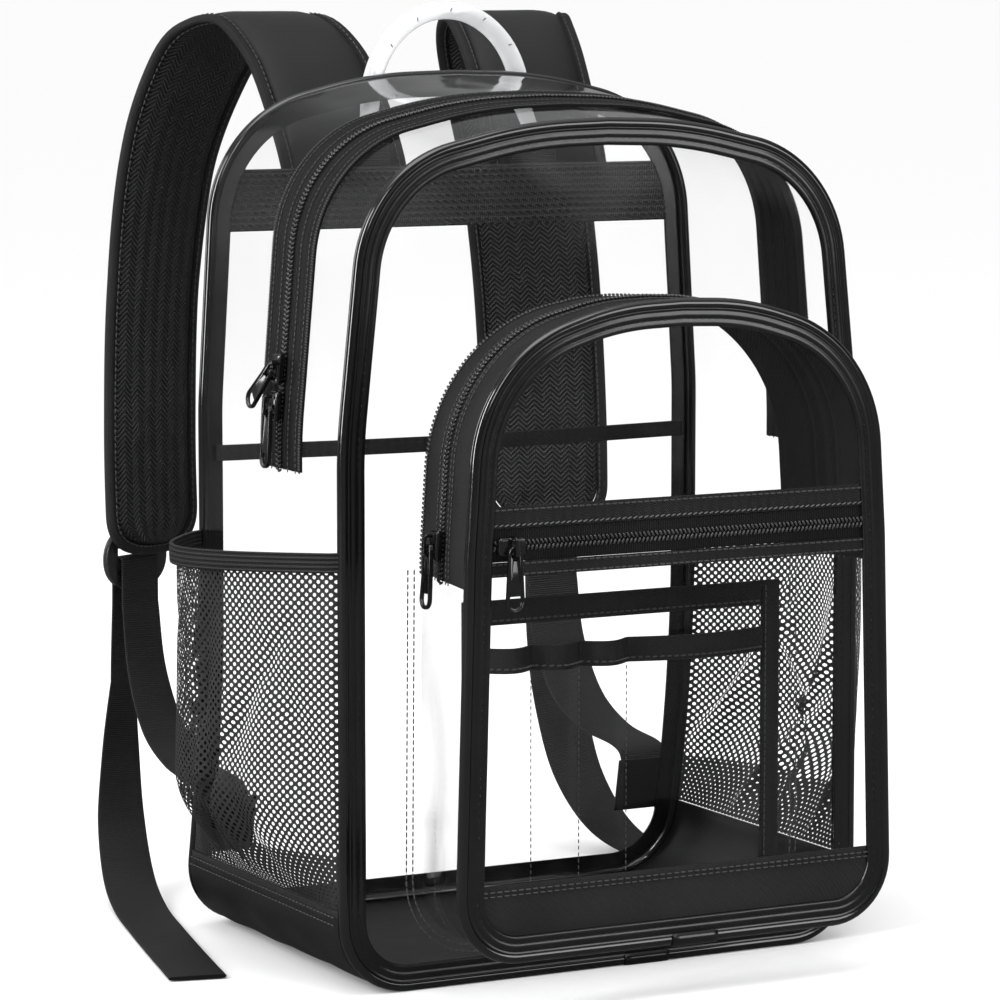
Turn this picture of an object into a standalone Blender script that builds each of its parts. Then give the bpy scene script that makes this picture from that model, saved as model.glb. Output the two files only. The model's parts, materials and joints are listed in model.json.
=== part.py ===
"""A clear stadium backpack that stands by itself, in metres, +Z up, its front facing -Y.

The body is two clear panels with black piping, joined by a wall that runs round their edge: a black
base tray, clear sides, and over the arch a zip strip between two clear strips. On the front panel
sits a boxed pocket with its own zips, and a row of slots inside it. Mesh pockets stand out of both
sides. The padded straps and the clear carrying loop are sewn to a webbing band on the back panel.
"""
import math
from collections import namedtuple

import bmesh
import bpy
from mathutils import Matrix, Vector

# The body
BAG_WIDTH = 0.305
FRONT_HEIGHT = 0.440
BACK_HEIGHT = 0.461
BODY_DEPTH = 0.168
BASE_DEPTH = 0.195
FLARE_HEIGHT = 0.200
FLARE_HEIGHTS = (0.075, 0.115, 0.160, 0.200)
PANEL_CORNER = 0.038
CORNER_STEPS = 4
BASE_SEAM_HEIGHT = 0.044
BASE_SHEET = 0.002

# Sheets, cloth and clearances
CLEAR_SHEET = 0.001
CLOTH_SHEET = 0.0015
WEBBING_SHEET = 0.0016
FIT_GAP = 0.0003

# How a mesh is made: what counts as the same place, and the turn that stays a smooth surface
WELD = 0.000001
SHORTEST_STEP = 0.0005
MARK_MARGIN = 0.01
SMOOTH_ANGLE = 40.0
ROUTE_STEPS = 3

# Piping: a round bead on the edge and a flat binding beside it
BEAD_DIAMETER = 0.006
BINDING_WIDTH = 0.008
BINDING_SHEET = 0.0022
PIPING_JOINT_LENGTH = 0.026
PIPING_JOINT_SHEET = 0.0008
PIPING_JOINT_WRAP = 55.0
FRONT_JOINT_SHARE = 0.21
POCKET_JOINT_SHARE = 0.09
BEAD_STEPS = 7

# The main zip strip, measured back from the front panel
ZIP_CENTRE_DEPTH = 0.066
ZIP_STRIP_WIDTH = 0.048
ZIP_END_HEIGHT = 0.262
ZIP_LAP = 0.006
COIL_WIDTH = 0.006
COIL_SLOPE = 0.001
COIL_HEIGHT = 0.0012

# The front pocket
POCKET_DEPTH = 0.076
POCKET_WIDTH = 0.253
POCKET_REAR_WIDTH = 0.220
POCKET_BOTTOM = 0.027
POCKET_TOP = 0.353
POCKET_REAR_BOTTOM = 0.0225
POCKET_REAR_TOP = 0.351
POCKET_CORNER = 0.034
POCKET_ZIP_END_HEIGHT = 0.214
POCKET_FLANGE_WIDTH = 0.009
POCKET_ZIP_SHARE = 0.50
BAND_LOW = 0.2195
BAND_ZIP_LOW = 0.227
BAND_ZIP_HIGH = 0.2435
BAND_HIGH = 0.2545
POCKET_PANEL_TOP = 0.067

# The row of slots inside the front pocket
ORGANISER_LEFT = -0.084
ORGANISER_RIGHT = 0.1035
ORGANISER_TOP = 0.197
ORGANISER_BOTTOM = 0.048
SLOT_TOP = 0.173
SLOT_WIDTH = 0.028
SLOT_COUNT = 3
SLOT_PUFF = 0.008
SLOT_STEPS = 4
SLOT_ROWS = 3
ORGANISER_BINDING = 0.013
ORGANISER_SIDE_BINDING = 0.011

# The flat sleeve inside the back panel
SLEEVE_TOP = 0.264
SLEEVE_HEM = 0.0085
SLEEVE_PUFF = 0.012
SLEEVE_MARGIN = 0.003
SLEEVE_COLUMNS = 8
SLEEVE_ROWS = 5

# Side pockets
MESH_BULGE = 0.045
MESH_TOP_FRONT = 0.226
MESH_TOP_BACK = 0.219
MESH_HEM = 0.010
MESH_HEM_SHEET = 0.002
MESH_RISE = 0.060
MESH_COLUMNS = 12
MESH_ROWS = 7

# Webbing band on the back, and the carrying loop
BACK_BAND_LOW = 0.3765
BACK_BAND_HIGH = 0.4095
HANDLE_SPAN = 0.092
HANDLE_TAB_SPACING = 0.102
HANDLE_TOP = 0.498
HANDLE_FOOT = 0.4245
HANDLE_THICKNESS = 0.010
HANDLE_DEPTH = 0.013
HANDLE_SETBACK = 0.0096
HANDLE_TAPER = 0.018
HANDLE_TAB_WIDTH = 0.028
HANDLE_STEPS = 14
HANDLE_SIDES = 8

# How the loop swells from its pinched feet: shares of the way up the foot and of the full depth
FootRow = namedtuple("FootRow", "rise_share depth_share")
HANDLE_FEET = (
    FootRow(0.00, 0.30),
    FootRow(0.35, 0.50),
    FootRow(0.70, 0.85),
)

# Shoulder straps, measured from the back panel
STRAP_WIDTH = 0.074
STRAP_THICKNESS = 0.009
STRAP_BINDING = 0.006
STRAP_BINDING_THICKNESS = 0.005
STRAP_SPACING = 0.124
STRAP_SPLAY = 0.063
STRAP_REACH = 0.128
STRAP_CREST = 0.4875
STRAP_END = 0.190
STRAP_SEWN_THICKNESS = 0.004
STRAP_RIM = 0.0033
STRAP_END_ROUND = 0.027
STRAP_END_POWER = 2.6
STRAP_STATIONS = 20
STRAP_END_STATIONS = 5

# Webbing, its buckle and where it is sewn in
WEBBING_WIDTH = 0.030
LOCK_WIDTH = 0.042
LOCK_HEIGHT = 0.030
LOCK_THICKNESS = 0.0035
LOCK_BAR = 0.004
LOCK_OUT = 0.008
LOCK_DROP = 0.004
LOCK_CLEAR = 0.002
LOCK_TAPER = (0.80, 1.0, 1.0, 1.0, 1.0, 0.86)
BEND_SLANT = 0.75
LOOP_WIDTH = 0.027
ANCHOR_HEIGHT = 0.040
ANCHOR_RISE = 0.030
ANCHOR_MARGIN = 0.003
WEBBING_DROP = 0.0225
TAIL_START = 0.002
TAIL_TURN = 6.0
TAIL_LIFT = 0.0009
TAIL_FORWARD = 0.236
TAIL_OUT = 0.064

# Zip sliders and their pulls
SLIDER_LENGTH = 0.015
SLIDER_WIDTH = 0.009
SLIDER_HEIGHT = 0.0042
BAIL_LENGTH = 0.0105
BAIL_WIDTH = 0.0022
BAIL_RISE = 0.0052
BAIL_BAR = 0.0015
PULL_LENGTH = 0.032
PULL_WIDTH = 0.0095
PULL_NECK = 0.0075
PULL_EYE_WIDTH = 0.0042
PULL_BAR = 0.0016
PULL_SLOT_TOP = 0.66
PULL_SLOT_END = 0.88
PULL_TIP = 0.70
BAIL_TAPER = 0.8
UPPER_SLIDER_HEIGHT = 0.313
LOWER_SLIDER_HEIGHT = 0.294
UPPER_PULL_TILT = -50.0
POCKET_SLIDER_HEIGHT = 0.232
BAND_SLIDER_INSET = 0.029

# Corners of an outline, as shares of its half width and its height
Corner = namedtuple("Corner", "width_share height_share radius_share steps")
FRONT_ARCH = (
    Corner(1.000, 0.636, 2.00, 2),
    Corner(0.905, 0.949, 0.46, 6),
    Corner(0.300, 0.997, 1.70, 2),
)
BACK_ARCH = (
    Corner(1.000, 0.620, 2.00, 2),
    Corner(0.940, 0.949, 0.48, 6),
    Corner(0.340, 0.997, 1.70, 2),
)
POCKET_ARCH = (
    Corner(0.955, 0.620, 1.20, 2),
    Corner(0.905, 0.922, 0.60, 6),
    Corner(0.300, 0.996, 1.20, 2),
)
POCKET_REAR_ARCH = (
    Corner(0.985, 0.620, 1.20, 2),
    Corner(0.920, 0.952, 0.80, 6),
    Corner(0.150, 0.998, 1.00, 2),
)

# How a strap runs from the band to its lower end, as shares of the strap sizes, and its turn in degrees
StrapRow = namedtuple("StrapRow", "reach_share rise_share splay_share turn")
STRAP_ROWS = (
    StrapRow(0.19, 0.839, 0.03, 0),
    StrapRow(0.37, 0.940, 0.08, 2),
    StrapRow(0.61, 1.000, 0.19, 6),
    StrapRow(0.85, 0.973, 0.38, 11),
    StrapRow(0.97, 0.889, 0.57, 16),
    StrapRow(1.02, 0.738, 0.79, 22),
    StrapRow(1.02, 0.503, 0.94, 25),
    StrapRow(1.00, 0.235, 1.00, 25),
    StrapRow(0.98, 0.000, 1.00, 25),
)

# How the slack webbing hangs between its patch and the buckle, as shares of the way back and up
SagRow = namedtuple("SagRow", "back_share rise_share")
SAG_ROWS = (
    SagRow(0.09, 0.07),
    SagRow(0.42, 0.12),
    SagRow(0.72, 0.28),
    SagRow(0.92, 0.60),
)

# How the free end falls from the buckle to the ground and comes forward
TailRow = namedtuple("TailRow", "forward_share height_share out_share turn")
TAIL_ROWS = (
    TailRow(-0.01, 0.72, 0.04, 40),
    TailRow(0.01, 0.48, 0.10, 25),
    TailRow(0.06, 0.25, 0.18, 10),
    TailRow(0.17, 0.08, 0.29, 0),
    TailRow(0.32, 0.012, 0.42, -8),
    TailRow(0.53, 0.00, 0.60, -10),
    TailRow(0.76, 0.00, 0.80, -10),
    TailRow(1.00, 0.00, 1.00, -10),
)

FRONT_Y = -BASE_DEPTH / 2
BACK_Y = FRONT_Y + BODY_DEPTH
POCKET_Y = FRONT_Y - POCKET_DEPTH
BEAD_RADIUS = BEAD_DIAMETER / 2
PANEL_INSET = BEAD_DIAMETER + FIT_GAP
SEAM_INSET = 0.0015
SIDES = (("left", -1), ("right", 1))
UP = Vector((0, 0, 1))
BACKWARD = Vector((0, 1, 0))


def clear_scene():
    for item in list(bpy.data.objects):
        bpy.data.objects.remove(item, do_unlink=True)


def finish(name, colour, roughness, metallic=0.0, alpha=1.0):
    """A Principled material, made once for each finish."""
    material = bpy.data.materials.get(name)
    if material:
        return material
    material = bpy.data.materials.new(name)
    material.use_nodes = True
    shader = material.node_tree.nodes["Principled BSDF"]
    shader.inputs["Base Color"].default_value = (*colour, 1.0)
    shader.inputs["Roughness"].default_value = roughness
    shader.inputs["Metallic"].default_value = metallic
    shader.inputs["Alpha"].default_value = alpha
    return material


def clear_vinyl():
    return finish("clear_vinyl", (0.90, 0.91, 0.92), 0.06, alpha=0.2)


def black_cloth():
    return finish("black_cloth", (0.012, 0.012, 0.013), 0.8)


def black_vinyl():
    return finish("black_vinyl", (0.014, 0.014, 0.015), 0.35)


def black_webbing():
    return finish("black_webbing", (0.010, 0.010, 0.011), 0.7)


def black_mesh():
    return finish("black_mesh", (0.016, 0.016, 0.017), 0.75, alpha=0.6)


def black_plastic():
    return finish("black_plastic", (0.020, 0.020, 0.022), 0.3)


def black_metal():
    return finish("black_metal", (0.018, 0.018, 0.020), 0.25, metallic=0.8)


def add_object(name, bm, material, parent):
    """Close the mesh, turn its faces outwards and hang it under a parent."""
    bmesh.ops.remove_doubles(bm, verts=bm.verts, dist=WELD)
    bmesh.ops.dissolve_degenerate(bm, edges=bm.edges, dist=WELD)
    bmesh.ops.recalc_face_normals(bm, faces=bm.faces)
    mesh = bpy.data.meshes.new(name)
    bm.to_mesh(mesh)
    bm.free()
    mesh.shade_smooth()
    mesh.set_sharp_from_angle(angle=math.radians(SMOOTH_ANGLE))
    mesh.materials.append(material)
    item = bpy.data.objects.new(name, mesh)
    bpy.context.collection.objects.link(item)
    item.parent = parent
    return item


def loft(name, rings, material, parent, closed=False):
    """One closed body through rings of points that all have the same count."""
    bm = bmesh.new()
    loops = [[bm.verts.new(point) for point in ring] for ring in rings]
    pairs = list(zip(loops, loops[1:]))
    if closed:
        pairs.append((loops[-1], loops[0]))
    for first, second in pairs:
        for i in range(len(first)):
            j = (i + 1) % len(first)
            bm.faces.new((first[i], first[j], second[j], second[i]))
    if not closed:
        bm.faces.new(loops[0])
        bm.faces.new(loops[-1])
    return add_object(name, bm, material, parent)


def sheet(name, outer, inner, material, parent):
    """A thin wall between two grids of points."""
    bm = bmesh.new()
    top = [[bm.verts.new(point) for point in row] for row in outer]
    low = [[bm.verts.new(point) for point in row] for row in inner]
    last_row = len(top) - 1
    last = len(top[0]) - 1
    for r in range(last_row):
        for c in range(last):
            bm.faces.new((top[r][c], top[r][c + 1], top[r + 1][c + 1], top[r + 1][c]))
            bm.faces.new((low[r][c], low[r + 1][c], low[r + 1][c + 1], low[r][c + 1]))
        for c in (0, last):
            bm.faces.new((top[r][c], top[r + 1][c], low[r + 1][c], low[r][c]))
    for r in (0, last_row):
        for c in range(last):
            bm.faces.new((top[r][c], top[r][c + 1], low[r][c + 1], low[r][c]))
    return add_object(name, bm, material, parent)


def arc_corner(before, corner, after, radius, steps):
    """The points of the arc that rounds one corner of a line."""
    into = (corner - before).normalized()
    out = (after - corner).normalized()
    turn = into.angle(out)
    reach = radius * math.tan(turn / 2)
    start = corner - into * reach
    side = Vector((-into.y, into.x)) if into.cross(out) > 0 else Vector((into.y, -into.x))
    centre = start + side * radius
    sweep = turn if into.cross(out) > 0 else -turn
    points = []
    for k in range(steps + 1):
        points.append(centre + Matrix.Rotation(sweep * k / steps, 2) @ (start - centre))
    return points


def rounded_line(corners):
    """A line through (x, z, radius, steps) corners, with each corner but the ends made an arc."""
    spots = [Vector((x, z)) for x, z, _, _ in corners]
    points = [spots[0]]
    for k in range(1, len(corners) - 1):
        radius, steps = corners[k][2], corners[k][3]
        points += arc_corner(spots[k - 1], spots[k], spots[k + 1], radius, steps)
    points.append(spots[-1])
    return points


def mark_height(points, height, place=None):
    """Insert a point on a rising line at a height, or at a place that another line has settled."""
    if place is None:
        place = next(k for k in range(2, len(points)) if points[k].y > height)
    low, high = points[place - 1], points[place]
    share = (height - low.y) / (high.y - low.y)
    share = min(max(share, MARK_MARGIN), 1 - MARK_MARGIN)
    return points[:place] + [low.lerp(high, share)] + points[place:], place


class Outline:
    """A symmetric closed outline in the XZ plane, anticlockwise from its bottom centre."""

    def __init__(self, width, bottom, top, corner_radius, arch, marks, like=None):
        half = width / 2
        rise = top - bottom
        corners = [(0, bottom, 0, 0), (half, bottom, corner_radius, CORNER_STEPS)]
        for row in arch:
            x = half * row.width_share
            z = bottom + rise * row.height_share
            corners.append((x, z, half * row.radius_share, row.steps))
        corners.append((0, top, 0, 0))
        right = rounded_line(corners)
        self.marks = {}
        for name, height in marks:
            right, self.marks[name] = mark_height(right, height, like and like.marks[name])
        left = [Vector((-point.x, point.y)) for point in reversed(right[1:-1])]
        self.points = right + left
        self.count = len(self.points)
        self.right_count = len(right)
        self.normals = [self.normal(k) for k in range(self.count)]

    def normal(self, k):
        before = self.points[k - 1]
        after = self.points[(k + 1) % self.count]
        along = (after - before).normalized()
        return Vector((along.y, -along.x))

    def half_width(self, height, inset):
        """Half the width inside an inset line at a height."""
        line = [self.points[k] - self.normals[k] * inset for k in range(self.right_count)]
        for low, high in zip(line, line[1:]):
            if low.y <= height <= high.y and high.y > low.y:
                return low.lerp(high, (height - low.y) / (high.y - low.y)).x
        return 0.0

    def rows(self, low, high, inset):
        """(height, half width) rows of the area inside an inset line, between two heights."""
        line = [self.points[k] - self.normals[k] * inset for k in range(1, self.right_count)]
        low = max(low, line[0].y)
        high = min(high, line[-1].y)
        inside = [p.y for p in line if low + SHORTEST_STEP < p.y < high - SHORTEST_STEP]
        heights = [low] + inside + [high]
        rows = [(z, self.half_width(z, inset)) for z in heights]
        if low == line[0].y:
            rows[0] = (low, line[0].x)
        return rows


def back_plane(z):
    """Where the back panel stands at a height: it leans out to the base at its foot."""
    share = max(0.0, 1.0 - z / FLARE_HEIGHT)
    return BACK_Y + (BASE_DEPTH - BODY_DEPTH) * share * share


def flat_plane(y):
    return lambda z: y


class Wall:
    """The wall between a front outline and a back one. Depth runs back from the front plane."""

    def __init__(self, front, back, front_y, back_y):
        self.front = front
        self.back = back
        self.front_y = front_y
        self.back_y = back_y

    def span(self, k):
        return self.back_y(self.back.points[k].y) - self.front_y

    def point(self, k, depth, offset):
        """A point at a depth behind the front plane, or before the back one where depth is under 0."""
        share = depth / self.span(k) + (1 if depth < 0 else 0)
        flat = self.front.points[k].lerp(self.back.points[k], share)
        normal = self.front.normals[k].lerp(self.back.normals[k], share).normalized()
        flat = flat + normal * offset
        start = self.back_y(flat.y) if depth < 0 else self.front_y
        return Vector((flat.x, start + depth, flat.y))

    def rings(self, places, profile):
        """Rings along the wall, from a profile of (depth, offset) points."""
        return [[self.point(k, depth, offset) for depth, offset in profile] for k in places]


def over(outline, mark):
    """Places on an outline from a mark on the right, over the arch, to the mark on the left."""
    first = outline.marks[mark]
    return list(range(first, outline.count - first + 1))


def under(outline, mark):
    """Places on an outline from a mark on the left, round the bottom, to the mark on the right."""
    first = outline.marks[mark]
    return list(range(outline.count - first, outline.count)) + list(range(0, first + 1))


def strip_profile(depth_start, depth_end, offset, thickness):
    return (
        (depth_start, offset),
        (depth_end, offset),
        (depth_end, offset - thickness),
        (depth_start, offset - thickness),
    )


def piping_profile(facing):
    """Bead and binding, as (outward, along Y) from the outline. Facing is -1 for a front, 1 for a back."""
    skin = CLEAR_SHEET / 2 + FIT_GAP
    sweep = 1.5 * math.pi + math.asin(skin / BEAD_RADIUS)
    points = []
    for k in range(BEAD_STEPS + 1):
        angle = math.pi / 2 - sweep * k / BEAD_STEPS
        points.append((-BEAD_RADIUS + BEAD_RADIUS * math.cos(angle), BEAD_RADIUS * math.sin(angle)))
    far = -BEAD_DIAMETER - BINDING_WIDTH
    points = [(a, b * facing) for a, b in points]
    points.append((far, facing * skin))
    points.append((far, facing * (skin + BINDING_SHEET)))
    return points


def piping(name, outline, plane, facing, parent):
    """Piping all the way round an outline."""
    rings = []
    for k in range(outline.count):
        spot, normal = outline.points[k], outline.normals[k]
        ring = []
        for out, along in piping_profile(facing):
            flat = spot + normal * out
            ring.append(Vector((flat.x, plane(flat.y) + along, flat.y)))
        rings.append(ring)
    return loft(name, rings, black_vinyl(), parent, closed=True)


def piping_joint(name, outline, y, share, parent):
    """The short sleeve that covers the ends of a piping's bead, on its bottom run."""
    centre = outline.points[1].x * share
    bottom = outline.points[0].y
    profile = []
    for radius in (BEAD_RADIUS + FIT_GAP, BEAD_RADIUS + FIT_GAP + PIPING_JOINT_SHEET):
        low = [(BEAD_DIAMETER, radius), (BEAD_RADIUS, radius)]
        for turn in (PIPING_JOINT_WRAP / 2, PIPING_JOINT_WRAP):
            angle = math.radians(turn)
            low.append((BEAD_RADIUS - radius * math.sin(angle), radius * math.cos(angle)))
        profile += low if not profile else low[::-1]
    rings = []
    for end in (-0.5, 0.5):
        x = centre + end * PIPING_JOINT_LENGTH
        rings.append([Vector((x, y - out, bottom + up)) for up, out in profile])
    return loft(name, rings, black_vinyl(), parent)


def plate(name, outline, low, high, plane, thickness, material, parent, inset=PANEL_INSET):
    """A flat or leaning sheet inside an outline, between two heights."""
    front, back = [], []
    for z, half in outline.rows(low, high, inset):
        y = plane(z)
        front.append([Vector((x, y - thickness / 2, z)) for x in (-half, half)])
        back.append([Vector((x, y + thickness / 2, z)) for x in (-half, half)])
    return sheet(name, front, back, material, parent)


def box_sheet(name, left, right, low, high, y_front, thickness, material, parent):
    """A flat rectangle of cloth whose front face is at y_front."""
    front = [[Vector((x, y_front, z)) for x in (left, right)] for z in (low, high)]
    back = [[Vector((x, y_front + thickness, z)) for x in (left, right)] for z in (low, high)]
    return sheet(name, front, back, material, parent)


def smooth_route(points, steps):
    """A Catmull-Rom curve through points, with a number of steps between each two."""
    ends = [points[0] * 2 - points[1]] + points + [points[-1] * 2 - points[-2]]
    route = []
    for k in range(1, len(ends) - 2):
        a, b, c, d = ends[k - 1 : k + 3]
        for s in range(steps):
            t = s / steps
            bend = b * 2 + (c - a) * t + (a * 2 - b * 5 + c * 4 - d) * t * t
            route.append((bend + (b * 3 - a - c * 3 + d) * t * t * t) / 2)
    route.append(points[-1])
    return route


def spread(values, steps):
    """Values in step with the points of smooth_route."""
    out = []
    for first, second in zip(values, values[1:]):
        out += [first + (second - first) * s / steps for s in range(steps)]
    return out + [values[-1]]


class Ribbon:
    """A band along a route. Its width lies along X, turned about Z by some degrees at each point."""

    def __init__(self, route, turns, side):
        self.frames = []
        self.lengths = [0.0]
        for k, place in enumerate(route):
            along = (route[min(k + 1, len(route) - 1)] - route[max(k - 1, 0)]).normalized()
            angle = -math.radians(turns[k]) * side
            across = Vector((math.cos(angle), math.sin(angle), 0))
            across = (across - along * across.dot(along)).normalized()
            self.frames.append((place, across, across.cross(along)))
            if k:
                self.lengths.append(self.lengths[-1] + (place - route[k - 1]).length)
        self.length = self.lengths[-1]

    def point(self, along, across, out):
        """A point at a length along the band, a distance across it and a distance out of it."""
        last = len(self.lengths) - 1
        k = next((n for n in range(1, last) if self.lengths[n] >= along), last)
        step = self.lengths[k] - self.lengths[k - 1]
        share = (along - self.lengths[k - 1]) / step
        first, second = self.frames[k - 1], self.frames[k]
        place = first[0].lerp(second[0], share)
        side = first[1].lerp(second[1], min(share, 1.0)).normalized()
        face = first[2].lerp(second[2], min(share, 1.0)).normalized()
        return place + side * across + face * out

    def flat_rings(self, width, thickness):
        """Rings of a plain flat band at each point of the route."""
        half, skin = width / 2, thickness / 2
        corners = ((-half, -skin), (half, -skin), (half, skin), (-half, skin))
        return [[place + side * a + face * n for a, n in corners] for place, side, face in self.frames]


def make_empty(name, place, parent):
    empty = bpy.data.objects.new(name, None)
    empty.location = place
    empty.parent = parent
    bpy.context.collection.objects.link(empty)
    return empty


def cell_plate(columns, rows, holes, thickness, scale=lambda r: 1.0):
    """A pierced plate in its own XZ plane, from a grid of cells with some left open."""
    bm = bmesh.new()
    grid = {}
    for face, y in (("front", -thickness / 2), ("back", thickness / 2)):
        for r, z in enumerate(rows):
            for c, x in enumerate(columns):
                grid[face, r, c] = bm.verts.new((x * scale(r), y, z))
    solid = {
        (r, c)
        for r in range(len(rows) - 1)
        for c in range(len(columns) - 1)
        if (r, c) not in holes
    }
    for r, c in solid:
        corners = ((r, c), (r, c + 1), (r + 1, c + 1), (r + 1, c))
        bm.faces.new([grid["front", *corner] for corner in corners])
        bm.faces.new([grid["back", *corner] for corner in reversed(corners)])
        neighbours = ((r - 1, c), (r, c + 1), (r + 1, c), (r, c - 1))
        for n, neighbour in enumerate(neighbours):
            if neighbour not in solid:
                a, b = corners[n], corners[(n + 1) % 4]
                bm.faces.new((grid["front", *a], grid["front", *b], grid["back", *b], grid["back", *a]))
    loose = [v for v in bm.verts if not v.link_faces]
    bmesh.ops.delete(bm, geom=loose, context="VERTS")
    return bm


def box_mesh(size, centre, bevel=0.0):
    bm = bmesh.new()
    bmesh.ops.create_cube(bm, size=1.0)
    bmesh.ops.scale(bm, vec=size, verts=bm.verts)
    bmesh.ops.translate(bm, vec=centre, verts=bm.verts)
    if bevel:
        bmesh.ops.bevel(bm, geom=bm.edges, offset=bevel, segments=1, affect="EDGES")
    return bm


def make_panels(front, back, parent):
    """Both clear panels with their piping, and the sleeve over the joint in the front piping."""
    plate("front_panel", front, 0, FRONT_HEIGHT, flat_plane(FRONT_Y), CLEAR_SHEET, clear_vinyl(), parent)
    plate("back_panel", back, 0, BACK_HEIGHT, back_plane, CLEAR_SHEET, clear_vinyl(), parent)
    piping("front_piping", front, flat_plane(FRONT_Y), -1, parent)
    piping("back_piping", back, back_plane, 1, parent)
    piping_joint("front_piping_joint", front, FRONT_Y, FRONT_JOINT_SHARE, parent)


def make_gusset(wall, parent):
    """The wall round the body: base tray, clear sides, zip strip and its two clear strips."""
    start = BEAD_RADIUS + FIT_GAP
    arch = over(wall.front, "zip_end")
    rings = wall.rings(under(wall.front, "seam"), strip_profile(start, -start, 0, BASE_SHEET))
    loft("base_tray", rings, black_vinyl(), parent)

    low = ZIP_CENTRE_DEPTH - ZIP_STRIP_WIDTH / 2 + ZIP_LAP
    high = ZIP_CENTRE_DEPTH + ZIP_STRIP_WIDTH / 2 - ZIP_LAP
    rings = wall.rings(arch, strip_profile(start, low, -SEAM_INSET, CLEAR_SHEET))
    loft("gusset_front", rings, clear_vinyl(), parent)
    rings = wall.rings(arch, strip_profile(high, -start, -SEAM_INSET, CLEAR_SHEET))
    loft("gusset_back", rings, clear_vinyl(), parent)
    rings = wall.rings(arch, zip_profile(ZIP_CENTRE_DEPTH, ZIP_STRIP_WIDTH, -SEAM_INSET + FIT_GAP))
    loft("main_zip_strip", rings, black_cloth(), parent)

    seam, zip_end = wall.front.marks["seam"], wall.front.marks["zip_end"]
    right = list(range(seam, zip_end + 1))
    left = [wall.front.count - k for k in right]
    profile = strip_profile(start, -start, -SEAM_INSET, CLEAR_SHEET)
    for name, places in (("side_panel_right", right), ("side_panel_left", left)):
        rings = wall.rings(places, profile)
        for ring in rings:
            for point in ring:
                point.z += FIT_GAP if ring is rings[0] else 0
                point.z -= FIT_GAP if ring is rings[-1] else 0
        loft(name, rings, clear_vinyl(), parent)


def zip_profile(centre, width, offset):
    """A zip strip lying on a wall: two tapes with the coil raised between them."""
    top = offset + CLOTH_SHEET
    coil = COIL_WIDTH / 2
    return (
        (centre - width / 2, offset),
        (centre - width / 2, top),
        (centre - coil, top),
        (centre - coil + COIL_SLOPE, top + COIL_HEIGHT),
        (centre + coil - COIL_SLOPE, top + COIL_HEIGHT),
        (centre + coil, top),
        (centre + width / 2, top),
        (centre + width / 2, offset),
    )


def make_mesh_pockets(wall, parent):
    """The bulging mesh pocket on each side, and the elastic hem on its rim."""
    start = BEAD_RADIUS + FIT_GAP
    low = BASE_SEAM_HEIGHT + FIT_GAP
    columns, rows = MESH_COLUMNS, MESH_ROWS

    def surface(side, along, z, skin):
        share = along / columns
        depth_share = start + (back_plane(z) - FRONT_Y - 2 * start) * share
        rise = min(1.0, (z - low) / MESH_RISE)
        out = MESH_BULGE * math.sin(math.pi * share) * math.sin(rise * math.pi / 2)
        x = BAG_WIDTH / 2 - SEAM_INSET + FIT_GAP + out + skin
        return Vector((side * x, FRONT_Y + depth_share, z))

    def rim(along):
        return MESH_TOP_FRONT + (MESH_TOP_BACK - MESH_TOP_FRONT) * along / columns

    for name, side in SIDES:
        outer, inner = [], []
        for r in range(rows + 1):
            rims = [rim(c) - MESH_HEM - FIT_GAP for c in range(columns + 1)]
            heights = [low + (top - low) * r / rows for top in rims]
            outer.append([surface(side, c, z, CLOTH_SHEET) for c, z in enumerate(heights)])
            inner.append([surface(side, c, z, 0) for c, z in enumerate(heights)])
        sheet(f"side_mesh_{name}", outer, inner, black_mesh(), parent)
        outer, inner = [], []
        for down in (MESH_HEM, 0):
            heights = [rim(c) - down for c in range(columns + 1)]
            outer.append([surface(side, c, z, MESH_HEM_SHEET) for c, z in enumerate(heights)])
            inner.append([surface(side, c, z, 0) for c, z in enumerate(heights)])
        sheet(f"side_hem_{name}", outer, inner, black_webbing(), parent)


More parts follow.
